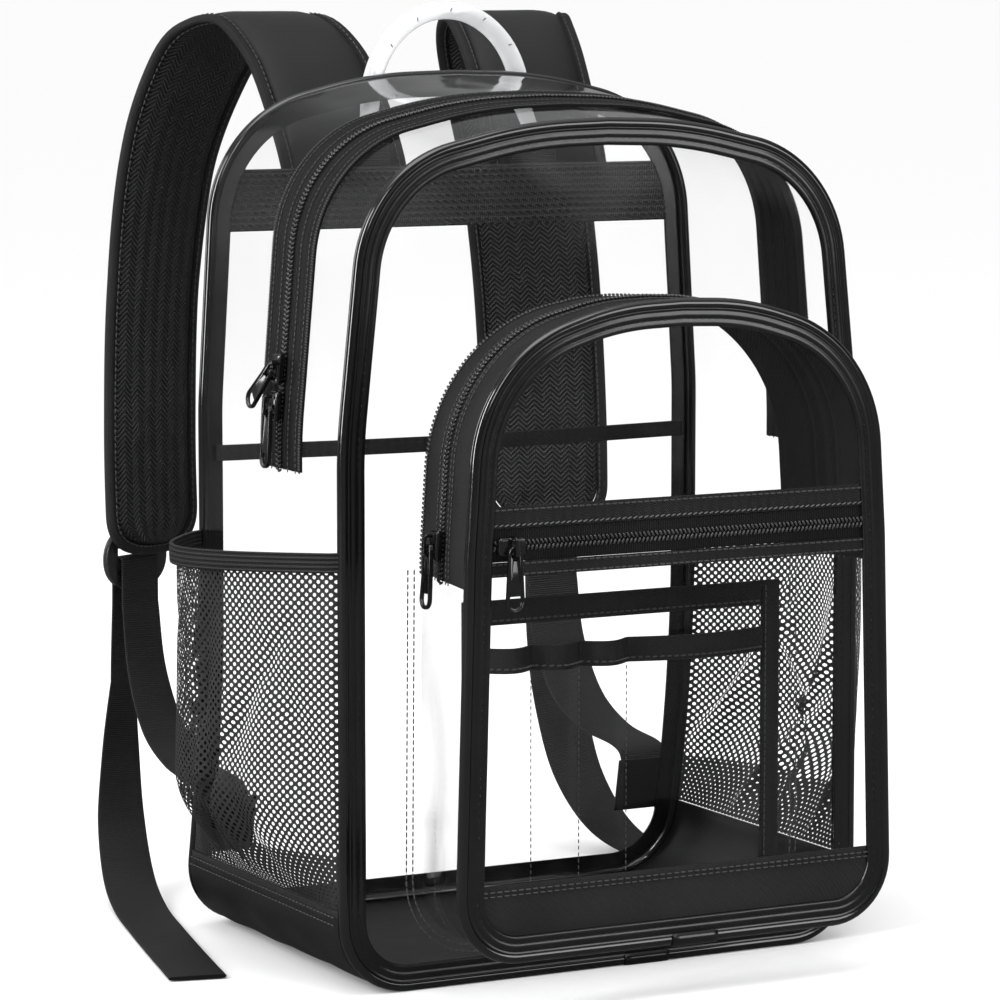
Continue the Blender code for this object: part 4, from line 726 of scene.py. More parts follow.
def polar_sheet(name, cad, line, plane, sag, seed, flip=False):
    """A sheet inside an outline: the outline drawn smaller and smaller to a middle line."""
    edge = line.p - line.n * PANEL_INSET
    core = np.array((0.0, (line.p[:, 1].max() + line.p[:, 1].min()) / 2))
    shares = np.linspace(1, 0.02, 30)
    spot = core + (edge[:, None] - core) * shares[None, :, None]
    y = plane(spot[..., 1]) + sag * (1 - shares[None] ** 6) * ripple(spot[..., 0], spot[..., 1], seed, 0.16)
    points = np.stack([spot[..., 0], y, spot[..., 1]], -1)
    piece = grid_piece(name, points, film, cad, ring_u=True, flip=not flip)
    middle = Vector((core[0], 0, core[1]))
    bm = bmesh.new()
    bm.from_mesh(piece.data)
    rim = [edge for edge in bm.edges if edge.is_boundary]
    rim.sort(key=lambda edge: (edge.verts[0].co - middle).xz.length)
    bmesh.ops.contextual_create(bm, geom=rim[: len(rim) // 2])
    layer = bm.loops.layers.uv.verify()
    for face in bm.faces:
        for loop in face.loops:
            loop[layer].uv = loop.vert.co.xz
    bm.to_mesh(piece.data)
    bm.free()


polar_sheet("front film", "front_panel", front, flat(FRONT_Y), sag=0.0022, seed=3)
polar_sheet("back film", "back_panel", back, back_plane, sag=0.0015, seed=8, flip=True)


def row_sheet(name, cad, rows, plane, finish, sag, seed):
    """A level strip of the pocket's face: rows at given heights, from one side to the other."""
    share = np.linspace(-1, 1, 49)[None]
    x = pocket.half_width(rows, PANEL_INSET)[:, None] * share
    z = np.broadcast_to(rows[:, None], x.shape)
    y = plane(z) + sag * (1 - np.abs(share) ** 8) * ripple(x, z, seed, 0.12)
    return grid_piece(name, np.stack([x, y, z], -1), finish, cad)


low_rows = np.linspace(WINDOW_LOW, WINDOW_HIGH, 26)
top_rows = WINDOW_ARCH_LOW + WINDOW_ARCH_RISE * np.sin(np.linspace(0, math.pi / 2, 30))
row_sheet("lower window", "pocket_window_lower", low_rows, flat(POCKET_Y), film, sag=0.0015, seed=12)
row_sheet("upper window", "pocket_window_upper", top_rows, flat(POCKET_Y), film, sag=0.0014, seed=14)


def wall_grid(wall, keys, offset, sag, seed, columns=31, grain=0.12):
    """Points of a wall between its two beads, which billow away from its edges."""
    points = wall.across(keys, np.linspace(0, 1, columns), offset, WALL_START)
    along = np.cumsum(np.concatenate([[0], np.linalg.norm(np.diff(points[:, 0], axis=0), axis=-1)]))
    order = np.arange(len(keys))
    edge_u = np.minimum(1, np.minimum(order, order[::-1]) / 4)[:, None]
    edge_v = np.sin(np.linspace(0, math.pi, columns))[None] ** 0.5
    lift = sag * edge_u * edge_v * ripple(along[:, None], points[0, :, 1][None], seed, grain)
    normal = np.cross(np.gradient(points, axis=1), np.gradient(points, axis=0))
    return points + unit(normal) * lift[..., None]


FILM_IN, FRONT_GUSSET_END, BACK_GUSSET_START = -0.0015, 0.0480, 0.0840
side_keys = np.arange(front.mark(SEAM_HEIGHT), front.mark(ZIP_END) + 1)
for label, keys, seed in (("right", side_keys, 21), ("left", (front.count - side_keys)[::-1], 22)):
    side_film = wall_grid(body_wall, keys, FILM_IN, 0.003, seed)
    grid_piece(label + " side film", side_film, wall_film, "side_panel_" + label)
arch_keys = front.over(ZIP_END)
front_film = body_wall.at(arch_keys, np.linspace(WALL_START, FRONT_GUSSET_END, 12), FILM_IN)
grid_piece("front gusset film", front_film, wall_film, "gusset_front")
near, far = (body_wall.at(arch_keys, [depth], FILM_IN) for depth in (BACK_GUSSET_START, -WALL_START))
grid_piece("back gusset film", between(near, far, 22), wall_film, "gusset_back")

pocket_low = pocket.under(POCKET_ZIP_END)
low_film = wall_grid(pocket_wall, pocket_low, FILM_IN, 0.0028, 31, columns=24)
flange_in = ring_profile(pocket_rear, pocket_low, [0.0], FRONT_Y - 0.0010)
flange_out = ring_profile(pocket_rear, pocket_low, [0.0075], FRONT_Y - 0.0008)
low_wall = np.concatenate([low_film, between(flange_in, flange_out, 5)], axis=1)
grid_piece("pocket wall film", low_wall, wall_film, "pocket_gusset_lower")
FLANGE_SEAMS = (0.0022, 0.0058)
seams = [ring_profile(pocket_rear, pocket_low, [o], FRONT_Y - 0.0012)[:, 0] for o in FLANGE_SEAMS]
seams = [(seam, FACING) for seam in seams]
repeat_along("pocket wall stitches", seams, stitch, 0.0036, black_thread, "pocket_gusset_lower")
print("films done")

# %% [markdown]
# ## Base tray
# The floor of the bag is black cloth that turns up the sides. It is sewn to the side films with two rows
# of stitches. A long strip like this never lies quite flat, so it gets shallow wrinkles.

# %% Base tray
TRAY_SEAMS = (0.0405, 0.0365)
tray = wall_grid(body_wall, front.under(SEAM_HEIGHT), -0.0002, 0.0011, 41, columns=41, grain=0.05)
tray[..., 2] = np.maximum(tray[..., 2], 0.0)
thicken(grid_piece("tray", tray, tray_cloth, "base_tray"), 0.0018, soften=0.0005)


def side_line(side, z, start=0.006, lift=0.0006, count=60):
    """A level line across a side, a little outside it."""
    y = np.linspace(FRONT_Y + start, float(back_plane(z)) - start, count)
    return np.stack([np.full(count, side * (BAG_WIDTH / 2 + lift)), y, np.full(count, z)], -1)


seams = [(side_line(side, z), (side, 0, 0)) for side in (-1, 1) for z in TRAY_SEAMS]
repeat_along("tray stitches", seams, stitch, 0.0041, black_thread, "base_tray")
print("tray done")

# %% [markdown]
# ## Main zip
# The zip runs over the arch between two walls of film. Its tapes are ribbed cloth, its outer edges are
# overcast with thick thread, and the coil stands up in the middle.

# %% Main zip
ZIP_MIDDLE, ZIP_HALF, ZIP_EDGE, ZIP_SEWING = 0.066, 0.0235, 0.0224, np.array((0.0095, 0.0185))


def way_out_of(wall, keys):
    n = unit(wall.front.n[keys] + wall.back.n[keys])
    return np.stack([n[:, 0], np.zeros(len(keys)), n[:, 1]], -1)


def zip_strip(name, wall, keys, depths, lift, finish, cad, thickness):
    """Cloth on an arch, whose height above the wall is given at each depth."""
    lift = np.broadcast_to(lift, (len(keys), len(depths)))
    thicken(grid_piece(name, wall.at(keys, depths, lift), finish, cad), thickness)


def zip_rows(name, wall, keys, depths, pattern, pitch, finish, lift, cad):
    out = way_out_of(wall, keys)
    lines = [(wall.at(keys, [depth], lift)[:, 0], out) for depth in depths]
    repeat_along(name, lines, pattern, pitch, finish, cad)


depths = np.linspace(ZIP_MIDDLE - ZIP_HALF, ZIP_MIDDLE + ZIP_HALF, 70)
from_coil = np.abs(depths - ZIP_MIDDLE)
lift = 0.0002 + 0.0008 * bell(from_coil - 0.0052, 0.0012) + 0.0006 * bell(from_coil - 0.0150, 0.0016)
zip_strip("main zip tape", body_wall, arch_keys, depths, lift, zip_tape, "main_zip_strip", 0.0013)
edges = (ZIP_MIDDLE - ZIP_EDGE, ZIP_MIDDLE + ZIP_EDGE)
sewing = (*(ZIP_MIDDLE - ZIP_SEWING[::-1]), *(ZIP_MIDDLE + ZIP_SEWING))
for name, depths, pattern, pitch, finish, lift in (
    ("main coil", [ZIP_MIDDLE], coil_tooth, TOOTH_PITCH, coil_nylon, 0.0003),
    ("main zip edge", edges, knurl, KNURL_PITCH, black_thread, 0.0),
    ("main zip sewing", sewing, stitch_small, 0.0030, black_thread, 0.0003),
):
    zip_rows(name, body_wall, arch_keys, depths, pattern, pitch, finish, lift, "main_zip_strip")

# %% [markdown]
# ## Pocket zip and band zip
# The pocket's wall turns from film to cloth above its seam, and a coil runs in its middle. Its rear edge
# is overcast in fat beads of thread. The face of the pocket has a band with a zip of its own, edged with
# grey dashes of thread.

# %% Pocket zips
COIL_DEPTH, OVERCAST_DEPTH, SEWING_DEPTHS = 0.03925, 0.0722, (0.0290, 0.0330, 0.0455, 0.0500)
pocket_keys = pocket.over(POCKET_ZIP_END)
depths = np.linspace(WALL_START, 0.0745, 60)
from_coil = np.abs(depths - COIL_DEPTH)
lift = -0.0018 + 0.0006 * bell(from_coil, 0.0030) + 0.0007 * bell(from_coil - 0.0080, 0.0014)
zip_strip("pocket zip cloth", pocket_wall, pocket_keys, depths, lift, twill, "pocket_zip_gusset", 0.0011)
for name, depths, pattern, pitch, finish, lift in (
    ("pocket coil", [COIL_DEPTH], coil_tooth, TOOTH_PITCH, coil_nylon, -0.0012),
    ("pocket zip sewing", SEWING_DEPTHS, stitch_small, 0.0030, black_thread, -0.0016),
    ("pocket overcast edge", [OVERCAST_DEPTH], overlock, BEAD_PITCH, black_thread, -0.0018),
):
    zip_rows(name, pocket_wall, pocket_keys, depths, pattern, pitch, finish, lift, "pocket_zip_gusset")


def add_band(name, cad, low, high, lift, finish, bow=0.0003):
    """A level band of cloth on the pocket's face, a little fuller in its middle."""
    def plane(z):
        return POCKET_Y - lift - bow * np.sin((z - low) / (high - low) * math.pi)

    piece = row_sheet(name, cad, np.linspace(low, high, 9), plane, finish, sag=0.0003, seed=9)
    thicken(piece, 0.0014)


def face_rows(name, heights, pattern, pitch, finish, lift, cad, inset=0.0150):
    lines = []
    for z in heights:
        half = float(pocket.half_width(z, inset))
        x = np.linspace(-half, half, 80)
        lines.append((np.stack([x, np.full(80, POCKET_Y - lift), np.full(80, z)], -1), FACING))
    repeat_along(name, lines, pattern, pitch, finish, cad)


BAND_LOW, ZIP_LOW, ZIP_HIGH, BAND_HIGH = 0.2198, 0.2272, 0.2435, 0.2545
add_band("upper band", "pocket_band_top", ZIP_HIGH, BAND_HIGH, 0.0010, edge_tape)
add_band("lower band", "pocket_band_bottom", BAND_LOW, ZIP_LOW, 0.0010, edge_tape)
add_band("band zip tape", "pocket_band_zip", ZIP_LOW, ZIP_HIGH, 0.0004, zip_tape)
add_band("base panel", "pocket_base_panel", 0.0333, 0.0670, 0.0007, twill, bow=0.0006)
face_rows("band coil", [0.2353], coil_tooth, TOOTH_PITCH, coil_nylon, 0.0006, "pocket_band_zip")
for name, heights, pattern, pitch, finish, lift, cad in (
    ("band dashes", [0.2452], dash, 0.0031, grey_thread, 0.0013, "pocket_band_top"),
    ("lower band stitches", [0.2262, 0.2210], stitch, 0.0036, black_thread, 0.0012, "pocket_band_bottom"),
    ("band sewing", [0.2528], stitch, 0.0036, black_thread, 0.0013, "pocket_band_top"),
    ("base sewing", [0.0640, 0.0618], stitch, 0.0040, black_thread, 0.0012, "pocket_base_panel"),
):
    face_rows(name, heights, pattern, pitch, finish, lift, cad)
print("zips done")

# %% [markdown]
# ## Stretch mesh pockets
# The side pockets are a knitted mesh with oval holes, gathered into a taped rim. The holes are real:
# Geometry Nodes lays out small tiles with a hole in each, in rows that are shifted by half a tile. The
# flat cloth is then bent to the pocket's shape, and gets the slanting folds that slack mesh shows.

# %% Perforated cloth
TILE_W, TILE_ROW = 0.0042, 0.0025
TILE_H = TILE_ROW * 4 / 3


def make_tile(hole_w, hole_h):
    """A hexagon with an oval hole: twelve quads between twelve places on each."""
    corners = [(0, 0.5), (-0.5, 0.25), (-0.5, -0.25), (0, -0.5), (0.5, -0.25), (0.5, 0.25)]
    outer, inner = [], []
    for (x0, y0), (x1, y1) in zip(corners, corners[1:] + corners[:1]):
        for x, y in ((x0, y0), ((x0 + x1) / 2, (y0 + y1) / 2)):
            x, y = x * TILE_W, y * TILE_H
            reach = math.hypot(x / hole_w, y / hole_h) * 2
            outer.append((x, y, 0))
            inner.append((x / reach, y / reach, 0))
    mesh = bpy.data.meshes.new("mesh tile")
    mesh.from_pydata(outer + inner, [], [(k, (k + 1) % 12, 12 + (k + 1) % 12, 12 + k) for k in range(12)])
    solid = sum(face.area for face in mesh.polygons) / (TILE_W * TILE_ROW)
    return mesh, solid


def make_perforated_tree():
    objects = {"Tile": "Object", "Tight tile": "Object"}
    kinds = {**objects, "Width": "Float", "Height": "Float", "Tight height": "Float", "Finish": "Material"}
    tree, given = new_geometry_tree("Perforated cloth", kinds)
    inputs = {"Size X": given["Width"], "Size Y": given["Height"]}
    for axis, size, step in (("X", "Width", TILE_W), ("Y", "Height", TILE_ROW)):
        inputs["Vertices " + axis] = calc(tree, "ADD", calc(tree, "DIVIDE", given[size], step), 1.0)
    grid = node(tree, "GeometryNodeMeshGrid", inputs)
    place = tree.nodes.new("GeometryNodeInputPosition").outputs[0]
    y = node(tree, "ShaderNodeSeparateXYZ", {0: place}).outputs[1]
    row = calc(tree, "ROUND", calc(tree, "DIVIDE", calc(tree, "ADD", y, given["Height"]), TILE_ROW))
    shift = calc(tree, "MULTIPLY", calc(tree, "FLOORED_MODULO", row, 2.0), TILE_W / 2)
    move = node(tree, "ShaderNodeCombineXYZ", {0: shift}).outputs[0]
    moved = node(tree, "GeometryNodeSetPosition", {"Geometry": grid.outputs[0], "Offset": move}).outputs[0]
    above_low = calc(tree, "MULTIPLY_ADD", given["Height"], 0.5, y)
    tight = calc(tree, "LESS_THAN", above_low, given["Tight height"])
    both = tree.nodes.new("GeometryNodeJoinGeometry")
    for label, chosen in (("Tile", calc(tree, "SUBTRACT", 1.0, tight)), ("Tight tile", tight)):
        tile = node(tree, "GeometryNodeObjectInfo", {"Object": given[label]}).outputs["Geometry"]
        inputs = {"Points": moved, "Selection": chosen, "Instance": tile}
        copies = node(tree, "GeometryNodeInstanceOnPoints", inputs)
        tree.links.new(copies.outputs[0], both.inputs[0])
    return end_tree(tree, both, given["Finish"], weld=0.00004)


HOLE, TIGHT_HOLE, TIGHT_SHARE = (0.0017, 0.0024), (0.0010, 0.0011), 0.16


def flat_perforated(name, width, height):
    """The flat cloth, and the share of it that is yarn."""
    tiles = [make_tile(*HOLE), make_tile(*TIGHT_HOLE)]
    helpers = [bpy.data.objects.new("tile", tile) for tile, solid in tiles]
    for helper in helpers:
        bpy.context.scene.collection.objects.link(helper)
    values = {"Tile": helpers[0], "Tight tile": helpers[1], "Width": width, "Height": height}
    values.update({"Tight height": TIGHT_SHARE * height, "Finish": mesh_yarn})
    base = bpy.data.objects.new(name, bpy.data.meshes.new(name))
    mesh = run_tree(base, perforated_tree, values)
    for helper in helpers:
        bpy.data.objects.remove(helper)
    return mesh, tiles[0][1]


perforated_tree = make_perforated_tree()
MESH_LOW, MESH_BULGE, MESH_RISE, MESH_HEM = 0.0443, 0.045, 0.060, 0.010
RIM_FRONT, RIM_FALL, FOLD_DEPTH, HEM_GAP = 0.226, 0.007, 0.0110, 0.0003


def rim_height(s):
    return RIM_FRONT - RIM_FALL * s


def pocket_surface(side, s, z, out=0.0):
    """A place on a side pocket: s from front to back, z its height, out its distance off the surface."""
    rise = np.sin(np.clip((z - MESH_LOW) / MESH_RISE, 0, 1) * math.pi / 2)
    tuck = 0.0032 * bell(np.minimum(s, 1 - s), 0.012)
    x = 0.1513 + MESH_BULGE * np.sin(math.pi * s) * rise + out - tuck
    y = FRONT_Y + SEAM_START + (back_plane(z) - FRONT_Y - 2 * SEAM_START) * s
    return np.stack([side * x, y, z + 0 * x], -1)


def folds(s, t, seed):
    """Slanting folds that are deepest in the lower part of the pocket."""
    rng = np.random.default_rng(seed)
    total = np.zeros(np.shape(s))
    for k in range(9):
        slope, place, width = rng.uniform(-0.7, 0.5), rng.uniform(0.05, 0.95), rng.uniform(0.02, 0.055)
        line = s - place - slope * (t - 0.4) - 0.02 * np.sin(t * 9 + k)
        total += bell(line, width) * (0.4 + 0.6 * rng.random())
    ease = np.clip(t * 6, 0, 1) * np.clip((1 - t) * 5, 0, 1)
    ease = ease * np.clip(s * 8, 0, 1) * np.clip((1 - s) * 8, 0, 1)
    return total * ease * (1.15 - t)


def add_mesh_pocket(side, label, seed):
    width, height = TILE_W * 49, TILE_ROW * 78
    mesh, solid = flat_perforated("mesh pocket " + label, width, height)
    flat_place = np.empty(len(mesh.vertices) * 3, np.float32)
    mesh.vertices.foreach_get("co", flat_place)
    flat_place = flat_place.reshape(-1, 3).astype(float)
    s, t = (np.clip(flat_place[:, k] / size + 0.5, 0, 1) for k, size in enumerate((width, height)))
    z = MESH_LOW + t * (rim_height(s) - MESH_HEM - HEM_GAP - MESH_LOW)
    points = pocket_surface(side, s, z, 0.0004 - FOLD_DEPTH * folds(s, t, seed))
    mesh.vertices.foreach_set("co", points.astype(np.float32).ravel())
    loops = np.empty(len(mesh.loops), np.int32)
    mesh.loops.foreach_get("vertex_index", loops)
    uv = mesh.uv_layers.new(name="UVMap")
    uv.data.foreach_set("uv", flat_place[loops][:, :2].astype(np.float32).ravel())
    piece = new_piece("mesh_pocket_" + label, mesh, mesh_yarn, "side_mesh_" + label)


def add_mesh_hem(side, label):
    s, drop = np.meshgrid(np.linspace(0, 1, 60), np.linspace(MESH_HEM, 0, 9), indexing="ij")
    bow = 0.0021 + 0.0003 * np.sin(math.pi * drop / MESH_HEM)
    hem = pocket_surface(side, s, rim_height(s) - drop, bow)
    cad = "side_hem_" + label
    thicken(grid_piece("mesh hem " + label, hem, hem_cloth, cad, flip=side < 0), 0.0020, soften=0.0005)
    rows = []
    for share in (0.2, 0.8):
        s = np.linspace(0, 1, 60)
        line = pocket_surface(side, s, rim_height(s) - MESH_HEM * share, 0.0025)
        rows.append((line, np.cross(unit(np.gradient(line, axis=0)), (0, 0, 1)) * side))
    repeat_along("mesh hem stitches " + label, rows, stitch_small, 0.0032, black_thread, cad)


for side, label, seed in ((-1, "left", 5), (1, "right", 11)):
    add_mesh_pocket(side, label, seed)
    add_mesh_hem(side, label)
print("mesh pockets done")

# %% [markdown]
# ## Organiser and sleeve
# Inside the front pocket a sheet of film is sewn on in slots, and a film sleeve lies inside the back
# panel. The slots stand open a little, so the front sheet is a row of shallow waves.

# %% Organiser
ORG_LEFT, ORG_RIGHT, ORG_LOW, ORG_TOP, SLOT_TOP = -0.0730, 0.0925, 0.048, 0.197, 0.173
SLOT_SEAMS = np.array([-0.073, -0.045, -0.017, 0.011, 0.0925])
ORG_Y = FRONT_Y - 0.0013


def slot_puff(x, z):
    k = np.clip(np.searchsorted(SLOT_SEAMS, x, side="left") - 1, 0, 3)
    across = np.sin(math.pi * (x - SLOT_SEAMS[k]) / (SLOT_SEAMS[k + 1] - SLOT_SEAMS[k]))
    rise = np.sin(np.clip((z - ORG_LOW) / (SLOT_TOP - ORG_LOW), 0, 1) * math.pi / 2)
    return 0.008 * np.clip(across, 0, 1) * rise


def face_grid(x0, x1, z0, z1, depth, nx=60, nz=30):
    z, x = np.meshgrid(np.linspace(z0, z1, nz), np.linspace(x0, x1, nx), indexing="ij")
    return np.stack([x, depth(x, z), z], -1)


def on_back(x, z):
    return ORG_Y - 0.0004 + 0.0004 * ripple(x, z, 61, 0.06)


def on_slots(x, z):
    puff = slot_puff(x, z)
    return ORG_Y - 0.0014 - puff + 0.0006 * ripple(x, z, 62, 0.05) * np.clip(puff / 0.004, 0, 1)


def on_edge(x, z):
    return ORG_Y - 0.0018 + 0 * x


def on_side_seam(x, z):
    return ORG_Y - 0.0019 + 0 * x


def on_slot_seam(x, z):
    return ORG_Y - 0.0017 + 0 * x


def on_slot_edge(x, z):
    return ORG_Y - 0.0030 - slot_puff(x, z)


def add_seams(name, cad, routes, pattern, pitch, lift=0.0):
    """Rows of thread on the face: each route is a first and a last place in X and Z, and a depth."""
    lines = []
    for x0, x1, z0, z1, depth in routes:
        count = 60 if x0 == x1 else 160
        x, z = np.linspace(x0, x1, count), np.linspace(z0, z1, count)
        lines.append((np.stack([x, depth(x, z), z], -1), FACING))
    repeat_along(name, lines, pattern, pitch, black_thread, cad, lift=lift)


EDGE_WIDTH, EDGE_SHEET, SIDE_SHEET, SEAM_END = 0.013, 0.0014, 0.0020, 0.003
for name, cad, top, depth, count in (
    ("organiser back film", "organiser_back", ORG_TOP, on_back, 60),
    ("organiser slot film", "organiser_front", SLOT_TOP, on_slots, 120),
):
    grid_piece(name, face_grid(ORG_LEFT, ORG_RIGHT, ORG_LOW, top, depth, nx=count), slot_film, cad)
for name, cad, top, depth, count in (
    ("organiser top edge", "organiser_top_binding", ORG_TOP, on_edge, 60),
    ("organiser slot edge", "organiser_slot_binding", SLOT_TOP, on_slot_edge, 120),
):
    points = face_grid(ORG_LEFT, ORG_RIGHT, top - EDGE_WIDTH, top, depth, nx=count, nz=9)
    thicken(grid_piece(name, points, edge_tape, cad), EDGE_SHEET, soften=0.0004)
for label, x0, x1, seam_x in (("left", -0.084, -0.0733, -0.07515), ("right", 0.0928, 0.1035, 0.09465)):
    cad = "organiser_side_binding_" + label
    points = face_grid(x0, x1, ORG_LOW, ORG_TOP, on_edge, nx=9)
    thicken(grid_piece("organiser side edge " + label, points, edge_tape, cad), SIDE_SHEET, soften=0.0004)
    routes = [(seam_x, seam_x, ORG_LOW + 0.004, ORG_TOP - 0.004, on_side_seam)]
    add_seams("organiser side dashes " + label, cad, routes, stitch, 0.0038)
for name, cad, z, depth, lift in (
    ("organiser top dashes", "organiser_top_binding", 0.1865, on_edge, 0.0001),
    ("organiser slot dashes", "organiser_slot_binding", 0.1625, on_slot_edge, 0.0002),
):
    routes = [(ORG_LEFT + SEAM_END, ORG_RIGHT - SEAM_END, z, z, depth)]
    add_seams(name, cad, routes, stitch, 0.0038, lift)
slot_routes = [(x, x, ORG_LOW, SLOT_TOP - 0.002, on_slot_seam) for x in SLOT_SEAMS[1:4]]
add_seams("organiser slot seams", "organiser_front", slot_routes, stitch_small, 0.0034)

SLEEVE_TOP, SLEEVE_HEM, SLEEVE_PUFF = 0.264, 0.0085, 0.012


def sleeve_grid(low, high, skin, rows=30):
    z = np.linspace(low, high, rows)
    half = back.half_width(np.maximum(z, 0.038), 0.0093)
    share = np.linspace(0, 1, 60)
    rise = np.sin(math.pi / 2 * (z - SEAM_HEIGHT) / (SLEEVE_TOP - SEAM_HEIGHT))
    x = half[:, None] * (2 * share - 1)[None]
    puff = SLEEVE_PUFF * np.sin(math.pi * share)[None] * rise[:, None]
    zz = np.broadcast_to(z[:, None], x.shape)
    wave = 0.0012 * ripple(x, zz, 71, 0.09) * np.clip(puff / 0.004, 0, 1)
    return np.stack([x, back_plane(zz) - 0.0008 - puff - skin + wave, zz], -1)


sleeve = sleeve_grid(SEAM_HEIGHT, SLEEVE_TOP - SLEEVE_HEM - GAP, 0.0005)
grid_piece("sleeve film", sleeve, slot_film, "inner_sleeve")
hem = sleeve_grid(SLEEVE_TOP - SLEEVE_HEM, SLEEVE_TOP, 0.0016, rows=7)
thicken(grid_piece("sleeve hem", hem, edge_tape, "inner_sleeve_hem"), EDGE_SHEET, soften=0.0004)
print("organiser and sleeve done")

# %% [markdown]
# ## Back band, tabs and handle
# A ribbed band crosses the back panel and takes the pull of the straps. Two ribbed tabs rise from it to
# the feet of the handle, a loop of clear tube with a flat, pinched foot at each end.

# %% Back band and handle
STRIP_LOW, STRIP_HEIGHT, STRIP_Y, RIDGES = 0.3765, 0.0330, 0.0726, 10
TAB_TOP, TAB_X, TAB_HALF, TAB_Y = 0.4242, 0.051, 0.014, 0.0751


def add_back_band():
    z = np.linspace(STRIP_LOW, STRIP_LOW + STRIP_HEIGHT, 120)[:, None]
    x = back.half_width(z, 0.0130) * np.linspace(-1, 1, 90)[None]
    ridge = 0.0007 * np.abs(np.sin((z - STRIP_LOW) / STRIP_HEIGHT * math.pi * RIDGES)) ** 0.7
    points = np.stack([x, STRIP_Y + ridge + 0 * x, z + 0 * x], -1)
    band = grid_piece("ribbed back band", points, band_cloth, "back_band", flip=True)
    thicken(band, 0.0015, soften=0.0004)


def add_tab(side, label):
    x = side * TAB_X + np.linspace(-TAB_HALF, TAB_HALF, 16)
    z, x = np.meshgrid(np.linspace(STRIP_LOW, TAB_TOP, 50), x, indexing="ij")
    y = TAB_Y - 0.0002 * np.abs(x - side * TAB_X) / TAB_HALF
    points, cad = np.stack([x, y, z], -1), "handle_tab_" + label
    thicken(grid_piece("handle tab " + label, points, webbing, cad, flip=True), 0.0015, soften=0.0005)


add_back_band()
for side, label in ((-1, "left"), (1, "right")):
    add_tab(side, label)

LOOP_HALF, LOOP_RISE, LOOP_Y, LOOP_SPRING = 0.046, 0.0505, 0.0801, 0.4425
FOOT_HALF, FOOT_Y, FOOT_LOW, FOOT_RISE = 0.051, 0.0740, 0.4245, 0.018
TUBE_WIDE, TUBE_DEEP = 0.005, 0.0065


def handle_rings():
    """Rings round the loop: up one flat, pinched foot, over the arch and down the other foot."""
    path = []
    for t in np.linspace(0, 1, 8)[:-1]:
        x, y = (LOOP_HALF - FOOT_HALF) * t + FOOT_HALF, FOOT_Y + (LOOP_Y - FOOT_Y) * t
        path.append((-x, y, FOOT_LOW + FOOT_RISE * t, (-1, 0), 0.3 + 0.7 * t**1.2))
    foot = path[::-1]
    for a in np.linspace(0, math.pi, 45):
        out = unit(np.array((-LOOP_RISE * math.cos(a), LOOP_HALF * math.sin(a))))
        path.append((-LOOP_HALF * math.cos(a), LOOP_Y, LOOP_SPRING + LOOP_RISE * math.sin(a), out, 1.0))
    path += [(-x, y, z, (1, 0), size) for x, y, z, out, size in foot]
    turn = circle(20)
    rings = []
    for x, y, z, out, size in path:
        across, deep = np.cos(turn) * TUBE_WIDE, np.sin(turn) * TUBE_DEEP * size
        rings.append(np.stack([x + out[0] * across, y + deep, z + out[1] * across], -1))
    return np.array(rings)


tube_piece("clear handle", handle_rings(), handle_vinyl, "handle")
arc = np.linspace(0.25, math.pi - 0.25, 80)
arc_z = LOOP_SPRING + (LOOP_RISE + 0.0002) * np.sin(arc)
arc_line = np.stack([-(LOOP_HALF + 0.0002) * np.cos(arc), np.full(80, 0.0737), arc_z], -1)
repeat_along("handle ticks", [(arc_line, FACING)], tick, TICK_PITCH, grey_thread, "handle")
print("band and handle done")

# %% [markdown]
# ## Shoulder straps
# Each strap is foam between a smooth cloth and a lining, with a tape bound round its edge. It starts
# flat under the back band, rises over the top of the bag and hangs behind it. The whole strap follows
# one curve with a direction across it, and the pad, the tape and the thread are laid out on that.

# %% Strap route
def smooth_route(points, steps):
    """A Catmull-Rom curve through points."""
    p = np.asarray(points, float)
    p = np.vstack([2 * p[0] - p[1], p, 2 * p[-1] - p[-2]])
    route = []
    for k in range(1, len(p) - 2):
        a, b, c, d = p[k - 1 : k + 3]
        t = (np.arange(steps) / steps)[:, None]
        bend, twist = 2 * a - 5 * b + 4 * c - d, 3 * b - a - 3 * c + d
        route.append((2 * b + (c - a) * t + bend * t**2 + twist * t**3) / 2)
    return np.vstack(route + [p[-2:-1]])


class Ribbon:
    def __init__(self, rows, steps, side):
        """rows are (x, y, z, turn in degrees about Z)."""
        rows = np.asarray(rows, float)
        self.p = smooth_route(rows[:, :3], steps)
        turn = np.interp(np.arange(len(self.p)), np.arange(len(rows)) * steps, rows[:, 3])
        along = unit(np.gradient(self.p, axis=0))
        angle = -np.radians(turn) * side
        across = np.stack([np.cos(angle), np.sin(angle), 0 * angle], -1)
        across = unit(across - along * (across * along).sum(-1, keepdims=True))
        self.across, self.face = across, np.cross(across, along)
        self.s = np.concatenate([[0], np.cumsum(np.linalg.norm(np.diff(self.p, axis=0), axis=-1))])
        self.length = self.s[-1]

    def at(self, s, a, out):
        s, a, out = np.broadcast_arrays(*(np.asarray(v, float) for v in (s, a, out)))
        pick = lambda field: np.stack([np.interp(s, self.s, field[:, k]) for k in range(3)], -1)
        place = pick(self.p)
        past = np.maximum(s - self.length, 0)[..., None]
        place = place + past * (self.p[-1] - self.p[-2]) / (self.s[-1] - self.s[-2])
        return place + unit(pick(self.across)) * a[..., None] + unit(pick(self.face)) * out[..., None]


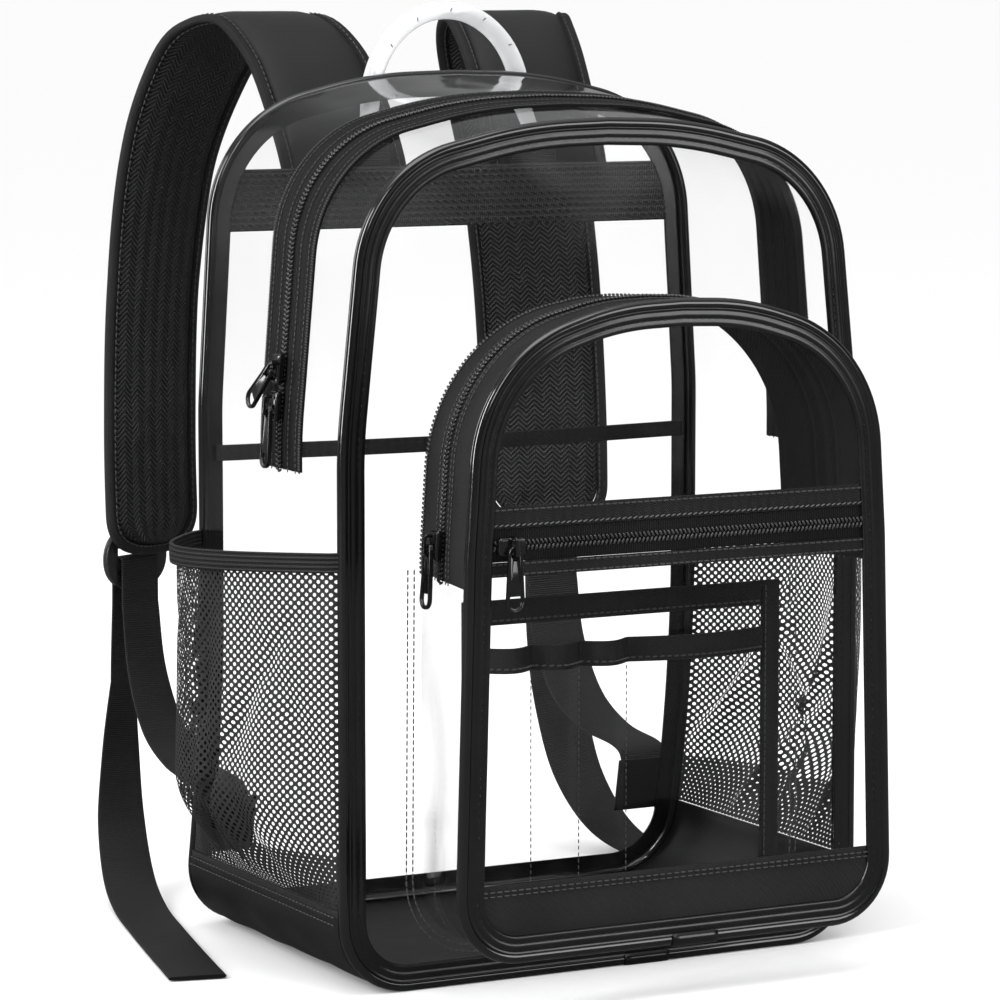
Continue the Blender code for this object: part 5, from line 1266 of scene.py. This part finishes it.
STRAP_TABLE = (
    (0.19, 0.839, 0.03, 0), (0.37, 0.940, 0.08, 2), (0.61, 1.0, 0.19, 6),
    (0.85, 0.973, 0.38, 11), (0.97, 0.889, 0.57, 16), (1.02, 0.738, 0.79, 22),
    (1.02, 0.503, 0.94, 25), (1.0, 0.235, 1.0, 25), (0.98, 0.0, 1.0, 25),
)
PAD_HALF, PAD_ROUND, PAD_SHEET, PAD_SWELL, PAD_INSET = 0.037, 0.027, 0.0090, 0.0050, 0.0062
THIN_SHEET, THIN_END, PAD_EDGE = 0.0040, 0.033, 0.0012


def strap_path(side):
    rows = [(0.0066, 0.3768, 0.0, 0), (0.0066, 0.393, 0.0, 0), (0.00885, 0.4098, 0.0, 0)]
    rows += [(0.128 * a, 0.190 + 0.2975 * b, 0.063 * c, turn) for a, b, c, turn in STRAP_TABLE]
    return Ribbon([(side * (0.062 + out), BACK_Y + deep, z, turn) for deep, z, out, turn in rows], 10, side)


def strap_edge(path, inset, steps=90, end_steps=20):
    """Half of the strap's outline, as lengths along it and half widths, with a rounded end."""
    run, half = path.length - PAD_ROUND, PAD_HALF - inset
    s = np.linspace(0, run, steps)[:-1]
    a = np.linspace(0, math.pi / 2, end_steps)
    power = 2 / 2.6
    s = np.concatenate([s, run + (PAD_ROUND - inset) * np.sin(a) ** power])
    half = np.concatenate([np.full(steps - 1, half), half * np.maximum(np.cos(a), 0) ** power])
    return s, half


# %% [markdown]
# ## The pads and their bound edges
# The outer face of a pad is smooth cloth and the inner one is lining, so the faces that look inwards get
# a second material. A tape is folded round the edge, with a row of thread on each of its sides.

# %% Strap pieces
def add_pad(path, side, label):
    s, half = (values[:-1, None] for values in strap_edge(path, PAD_INSET))
    swell = np.clip(s / THIN_END - 1, 0, 1)
    half_sheet = (THIN_SHEET + PAD_SWELL * swell * swell * (3 - 2 * swell)) / 2
    share = np.linspace(-1, 1, 19)[None]
    crown = PAD_EDGE + (half_sheet - PAD_EDGE) * (1 - np.abs(share) ** 5)
    wave = 0.00035 * ripple(s, share * 0.03, 81 + side, 0.06) * (1 - share**2)
    near_end = np.clip((s - path.length + 0.16) / 0.06, 0, 1) * (1 - share**4)
    crease = 0.0016 * near_end * ripple(s, share * 0.03, 91 + side, 0.022)
    outer = path.at(s, half * share, crown + wave)
    inner = path.at(s, half * share[:, ::-1], -crown + crease[:, ::-1])
    points = np.concatenate([outer, inner], axis=1)
    pad = tube_piece("strap pad " + label, points, strap_cloth, "strap_pad_" + label)
    pad.data.materials.append(lining_cloth)
    face = np.array([tuple(p.normal) for p in pad.data.polygons])
    middle = np.array([tuple(p.center) for p in pad.data.polygons])
    nearest = np.argmin(np.linalg.norm(middle[:, None] - path.p[None], axis=-1), axis=1)
    inside = (face * path.face[nearest]).sum(-1) < -0.15
    pad.data.polygons.foreach_set("material_index", inside.astype(np.int32))


def add_binding(path, label, tape=0.0031, tape_half=0.0025, seam=0.0049, seam_up=0.0023):
    """The tape that is folded round the strap's edge, and a row of thread on each of its sides."""
    s, half = strap_edge(path, 0.0)
    way_s = np.concatenate([s, s[::-1][1:]])
    way_a = np.concatenate([-half, half[::-1][1:]])
    along = unit(np.stack([np.gradient(way_s), np.gradient(way_a)], -1))
    turn = circle(16)
    reach = tape * (1 - squared(np.cos(turn), 0.8))[None]
    thin = np.clip(way_s / THIN_END, 0.75, 1)[:, None]
    up = tape_half * squared(np.sin(turn), 0.6)[None] * thin
    ring = path.at(way_s[:, None] - along[:, 1:] * reach, way_a[:, None] + along[:, :1] * reach, up)
    cad = "strap_binding_" + label
    tube_piece("strap edge tape " + label, ring, edge_tape, cad)
    keep = way_s > 0.010
    lines = []
    for up in (-1, 1):
        line = path.at(way_s - along[:, 1] * seam, way_a + along[:, 0] * seam, up * seam_up)
        out = path.at(way_s, way_a, up) - path.at(way_s, way_a, 0)
        lines.append((line[keep], out[keep]))
    repeat_along("strap edge stitches " + label, lines, stitch, 0.0038, black_thread, cad)


strap_paths = {label: strap_path(side) for side, label in ((-1, "left"), (1, "right"))}
for side, label in ((-1, "left"), (1, "right")):
    add_pad(strap_paths[label], side, label)
    add_binding(strap_paths[label], label)
print("strap length", round(strap_paths["left"].length, 4))

# %% [markdown]
# ## Webbing
# A flat webbing is sewn to the bag's foot, runs up to the buckle, turns over its bar and hangs down to
# the ground, where its free end comes forward. It is a band of even width with rounded edges. Its fine
# cross ribs are in the material. The end is folded back on itself and sewn.

# %% Webbing
WEB_WIDTH, WEB_SHEET, WEB_DROP = 0.030, 0.0016, 0.0225
CLOTH_SHEET, FILM_SHEET = 0.0016, 0.0010
LOCK_HEIGHT, LOCK_SHEET, LOCK_BAR = 0.030, 0.0035, 0.004
LOCK_OUT, LOCK_DROP, LOCK_CLEAR = 0.008, 0.004, 0.002
SAG_TABLE = ((0.09, 0.07), (0.42, 0.12), (0.72, 0.28), (0.92, 0.60))
TAIL_FORWARD, TAIL_OUT, TAIL_LIFT = 0.236, 0.064, 0.0009
TAIL_TABLE = (
    (-0.01, 0.72, 0.04, 40), (0.01, 0.48, 0.10, 25), (0.06, 0.25, 0.18, 10), (0.17, 0.08, 0.29, 0),
    (0.32, 0.012, 0.42, -8), (0.53, 0.00, 0.60, -10), (0.76, 0.00, 0.80, -10), (1.00, 0.00, 1.00, -10),
)
UP = np.array((0.0, 0.0, 1.0))


def lock_place(path, side):
    """Middle of the buckle at a strap's lower end, and the directions across it and out of its face."""
    across = path.across[-1]
    face = unit(np.cross(across, -UP))
    behind = PAD_SHEET / 2 + LOCK_CLEAR + WEB_SHEET + GAP + LOCK_SHEET / 2
    centre = path.p[-1] + UP * (LOCK_OUT - LOCK_HEIGHT / 2 + LOCK_BAR / 2)
    return centre + face * behind + across * side * LOCK_DROP, across, face


def webbing_rows(side, lock):
    """The slack run up, the turn over the bar and the fall to the ground, each smoothed on its own."""
    centre, across, face = lock
    turn = -side * math.degrees(math.asin(across[1]))
    x = side * (BAG_WIDTH / 2 - 2 * BEAD - GAP - WEB_WIDTH / 2)
    stand = FILM_SHEET / 2 + 4 * GAP + BIND_SHEET + CLOTH_SHEET + WEB_SHEET / 2
    sewn = ((0.040, 0), (0.055, GAP), (0.070, 5 * GAP))
    rise = [(x, float(back_plane(z)) + stand + lift, z, 0) for z, lift in sewn]
    clear = 3 * GAP + WEB_SHEET / 2
    under = centre - face * (LOCK_SHEET / 2 + clear) - UP * WEB_DROP
    start = np.array(rise[-1][:3])
    for back_share, up_share in SAG_TABLE:
        rise.append((*(start + (under - start) * (back_share, back_share, up_share)), turn * back_share))
    rise.append((*under, turn))
    side_out, top = LOCK_SHEET / 2, LOCK_BAR / 2
    quarter = [(side_out + clear, 0), (side_out + clear, top)]
    quarter += [(side_out + 0.75 * clear, top + 0.75 * clear), (side_out, top + clear)]
    over_bar = [(-o, z) for o, z in quarter] + quarter[::-1]
    bend = [(*(centre + face * o + UP * z), turn) for o, z in over_bar]
    fall = centre + face * (LOCK_SHEET / 2 + clear + 0.002) - UP * WEB_DROP
    ground = TAIL_LIFT + WEB_SHEET / 2
    drop = [(*fall, turn + 6)]
    for forward, height, out, tail_turn in TAIL_TABLE:
        x, y = fall[0] + side * TAIL_OUT * out, fall[1] - TAIL_FORWARD * forward
        drop.append((x, y, ground + (fall[2] - ground) * height, tail_turn))
    rows = []
    for run, steps in ((rise, 8), (bend, 1), (drop, 8)):
        table = np.array(run, float)
        line = smooth_route(table[:, :3], steps)
        turns = np.interp(np.arange(len(line)), np.arange(len(table)) * steps, table[:, 3])
        rows.append(np.column_stack([line, turns]))
    return np.vstack(rows)


END_FOLD, END_SEAMS = 0.0130, (0.0095, 0.0110)


def add_webbing(side, label):
    path = Ribbon(webbing_rows(side, lock_place(strap_paths[label], side)), 1, side)
    last = path.length - np.array((END_FOLD + 0.0005, END_FOLD, 0.0008, 0.0))
    s = np.unique(np.round(np.concatenate([path.s[:-1], last]), 6))[:, None]
    fold = np.where(s > path.length - END_FOLD - 0.0002, 1.25, 1.0)
    turn = circle(24)[None]
    across = squared(np.cos(turn), 0.25) * WEB_WIDTH / 2
    ring = path.at(s, across, squared(np.sin(turn), 0.5) * WEB_SHEET / 2 * fold)
    cad = "strap_webbing_" + label
    tube_piece("webbing " + label, ring, webbing, cad)
    lines = []
    a = np.linspace(-0.013, 0.013, 20)
    for back_off in END_SEAMS:
        place, skin, away = (path.at(path.length - back_off, a, up) for up in (0.0, 0.0010, 1.0))
        lines.append((skin, away - place))
    repeat_along("webbing end stitches " + label, lines, stitch_small, 0.0028, black_thread, cad)
    return path.length


web_lengths = [add_webbing(side, label) for side, label in ((-1, "left"), (1, "right"))]
print("webbing length", round(web_lengths[0], 4))

# %% [markdown]
# ## Hardware
# The sliders keep the exact CAD shapes, and so do the strap anchors and buckle loops: a copy of each is
# merged into whole faces and its edges are rounded. The sliders get a glossy finish, the anchors and loops
# cloth. The buckles and pulls are new rounded plates with their holes, made where the CAD ones are, and
# the pulls have a raised rim.
# Each pull rides on its own body, so that it swings with its joint.

# %% Hardware
def merged_copy(cad, name, finish, round_off, segments=3):
    source = nodes[cad]
    mesh = source.data.copy()
    mesh.transform(source.matrix_world)
    bm = bmesh.new()
    bm.from_mesh(mesh)
    bmesh.ops.remove_doubles(bm, verts=bm.verts, dist=0.00002)
    bmesh.ops.recalc_face_normals(bm, faces=bm.faces)
    bmesh.ops.dissolve_limit(bm, angle_limit=math.radians(2), verts=bm.verts, edges=bm.edges)
    bm.to_mesh(mesh)
    bm.free()
    piece = new_piece(name, mesh, finish, cad)
    edge = piece.modifiers.new("rounded edges", "BEVEL")
    edge.width, edge.segments, edge.limit_method = round_off, segments, "ANGLE"
    edge.angle_limit, edge.harden_normals = math.radians(25), True


def rounded(half_x, half_z, power=2.0, count=40, middle=0.0):
    """A closed outline from a circle to a rounded square, as places along X and Z."""
    x, z = (squared(wave, 2 / power) for wave in (np.cos(circle(count)), np.sin(circle(count))))
    return np.stack([half_x * x, middle + half_z * z], -1)


def add_plate(name, cad, outline, holes, place, sheet, finish, rim=0.0):
    """A flat moulded plate with holes, rounded all round. A rim is a raised bead along its edge."""
    bm = bmesh.new()
    edges = []
    for loop in (outline, *holes):
        verts = [bm.verts.new((x, 0, z)) for x, z in loop]
        edges += [bm.edges.new(pair) for pair in zip(verts, verts[1:] + verts[:1])]
    bmesh.ops.triangle_fill(bm, edges=edges, use_beauty=True)
    bmesh.ops.recalc_face_normals(bm, faces=bm.faces)
    bmesh.ops.transform(bm, matrix=place, verts=bm.verts)
    mesh = bpy.data.meshes.new(name)
    bm.to_mesh(mesh)
    bm.free()
    thicken(new_piece(name, mesh, finish, cad), sheet, min(0.0006, sheet * 0.35), offset=0.0)
    for number, up in enumerate((-1, 1) if rim else ()):
        way = unit(np.roll(outline, -1, 0) - np.roll(outline, 1, 0))[:, ::-1] * (1, -1)
        turn = circle(8)
        ring = outline[:, None] + way[:, None] * (rim * (np.cos(turn) - 1.0))[None, :, None]
        depth = np.broadcast_to(up * sheet / 2 + rim * np.sin(turn), ring.shape[:2])
        points = np.stack([ring[..., 0], depth, ring[..., 1]], -1)
        points = points @ np.array(place.to_3x3()).T + np.array(place.translation)
        grid_piece(f"{name} rim {number + 1}", points, finish, cad, ring_u=True, ring_v=True)


def plate_matrix(middle, across, out, up):
    turn = Matrix([Vector(across), Vector(out), Vector(up)]).transposed().to_4x4()
    return Matrix.Translation(Vector(middle)) @ turn


LOCK_FACE_HALF, LOCK_FACE_RISE, LOCK_FACE_SHEET, SLOT_UP = 0.0250, 0.0185, 0.0036, 0.0065
slot_holes = [rounded(0.0157, 0.0045, 8, 32, middle) for middle in (-SLOT_UP, SLOT_UP)]
for side, label in ((-1, "left"), (1, "right")):
    middle, across, face = lock_place(strap_paths[label], side)
    shape = rounded(LOCK_FACE_HALF, LOCK_FACE_RISE, 2.2, 64, 0.0030)
    place = plate_matrix(middle, across, face, UP)
    lock = "ladder_lock_" + label
    add_plate("buckle " + label, lock, shape, slot_holes, place, LOCK_FACE_SHEET, lock_plastic)
    merged_copy("strap_anchor_" + label, "anchor patch " + label, strap_cloth, 0.0004)
    merged_copy("buckle_loop_" + label, "buckle loop " + label, webbing, 0.0003)


def half_round(radius, x_sign, z, z_sign):
    a = np.linspace(0, math.pi, 17)
    return np.stack([x_sign * np.cos(a) * radius, z + z_sign * np.sin(a) * radius], -1)


def pull_shape():
    """A pull's outline, wider at its round end, the eye for the bail and the hole at the end."""
    head, foot = half_round(0.0037, 1, -0.0029, 1), half_round(0.0050, -1, -0.0270, -1)
    end_hole = np.vstack([[(-0.0029, -0.0242), (0.0029, -0.0242)], half_round(0.0031, 1, -0.0269, -1)])
    return np.vstack([head, foot]), [rounded(0.0019, 0.0024, 2.2, 24, -0.0041), end_hole]


for joint in frame["joints"]:
    pull = joint["child"]
    slider = pull.replace("pull", "slider")
    merged_copy(slider, slider.replace("_", " ") + " body", black_paint, 0.0013, segments=4)
    pivot, axis = Vector(joint["pos_m"]), Vector(joint["axis"]).normalized()
    corners = [nodes[pull].matrix_world @ v.co for v in nodes[pull].data.vertices]
    down = sum(corners, Vector()) / len(corners) - pivot
    down = (down - axis * down.dot(axis)).normalized()
    place = plate_matrix(pivot, axis, (-down).cross(axis), -down)
    shape, holes = pull_shape()
    add_plate(pull.replace("_", " ") + " tag", pull, shape, holes, place, 0.0013, black_paint, rim=0.0006)
print("hardware done")

# %% [markdown]
# ## Floor and light
# The bag stands on a plain white floor under soft light from above. The walls of a clear bag show what
# they mirror, so the room is bright above and behind and dimmer in front: the top film turns hazy and
# the front film stays clear. Strips of light at the sides draw the shine along the piping.

# %% Stage
def fresh_tree(owner):
    owner.use_nodes = True
    owner.node_tree.nodes.clear()
    return owner.node_tree


FLOOR_REACH = 400.0
floor_material = bpy.data.materials.new("white floor")
tree = fresh_tree(floor_material)
matt = node(tree, "ShaderNodeBsdfDiffuse", {"Color": (0.90, 0.90, 0.90, 1)}).outputs[0]
polish = node(tree, "ShaderNodeBsdfGlossy", {"Color": (1, 1, 1, 1), "Roughness": 0.12}).outputs[0]
blend = node(tree, "ShaderNodeMixShader", {0: 0.05, 1: matt, 2: polish}).outputs[0]
# In mirrors the floor shows a dark grey instead of its white: a painted shade that keeps its reflection in
# the glossy piping and hardware dark.
dim = node(tree, "ShaderNodeBsdfDiffuse", {"Color": (0.12, 0.12, 0.12, 1)}).outputs[0]
mirrored_ray = tree.nodes.new("ShaderNodeLightPath").outputs["Is Glossy Ray"]
choose = node(tree, "ShaderNodeMixShader", {0: mirrored_ray, 1: blend, 2: dim})
tree.links.new(choose.outputs[0], tree.nodes.new("ShaderNodeOutputMaterial").inputs[0])
floor_mesh = bpy.data.meshes.new("floor")
corners = [(x * FLOOR_REACH, y * FLOOR_REACH, 0) for x, y in ((-1, -1), (1, -1), (1, 1), (-1, 1))]
floor_mesh.from_pydata(corners, [], [(0, 1, 2, 3)])
floor_mesh.materials.append(floor_material)
floor = bpy.data.objects.new("floor", floor_mesh)
bpy.context.scene.collection.objects.link(floor)

world = bpy.data.worlds.new("soft room")
bpy.context.scene.world = world
tree = fresh_tree(world)
direction = tree.nodes.new("ShaderNodeTexCoord").outputs["Generated"]
way = node(tree, "ShaderNodeSeparateXYZ", {0: direction}).outputs
top = node(tree, "ShaderNodeMapRange", {0: way[2], 1: 0.55, 2: 0.95, 3: 0.09, 4: 0.9})
behind = node(tree, "ShaderNodeMapRange", {0: way[1], 1: 0.2, 2: 0.9, 3: 0.0, 4: 0.16})
mirrored = calc(tree, "ADD", top.outputs[0], behind.outputs[0])
kind = tree.nodes.new("ShaderNodeLightPath").outputs
soft = node(tree, "ShaderNodeMix", {0: kind["Is Glossy Ray"], 2: 1.12, 3: mirrored}).outputs[0]
strength = node(tree, "ShaderNodeMix", {0: kind["Is Camera Ray"], 2: soft, 3: 1.0}).outputs[0]
glow = node(tree, "ShaderNodeBackground", {"Color": (1, 1, 1, 1), "Strength": strength})
tree.links.new(glow.outputs[0], tree.nodes.new("ShaderNodeOutputWorld").inputs[0])


def add_light(name, place, size, power, target=(0, 0, 0.25)):
    lamp = bpy.data.lights.new(name, "AREA")
    lamp.shape, lamp.size, lamp.size_y, lamp.energy = "RECTANGLE", size[0], size[1], power
    holder = bpy.data.objects.new(name, lamp)
    holder.location = place
    holder.rotation_euler = (Vector(target) - Vector(place)).to_track_quat("-Z", "Y").to_euler()
    bpy.context.scene.collection.objects.link(holder)


add_light("above", (-0.3, -0.5, 2.2), (1.4, 1.4), 18, target=(0, 0, 0.2))
add_light("left strip", (-1.9, -0.5, 1.0), (0.30, 1.6), 36)
add_light("right box", (1.3, -2.1, 0.9), (0.9, 1.2), 15)
add_light("front strip", (-0.9, -2.6, 1.6), (0.35, 1.0), 12)
add_light("rear strip", (-1.5, 1.6, 0.9), (0.4, 1.4), 12)
scene = bpy.context.scene
scene.view_settings.view_transform = "Standard"
scene.view_settings.look = "None"
scene.cycles.transparent_max_bounces = 24
scene.cycles.max_bounces = 16

# %% [markdown]
# ## Last update
# The view layer is brought up to date at the end.

# %% Last update
bpy.context.view_layer.update()
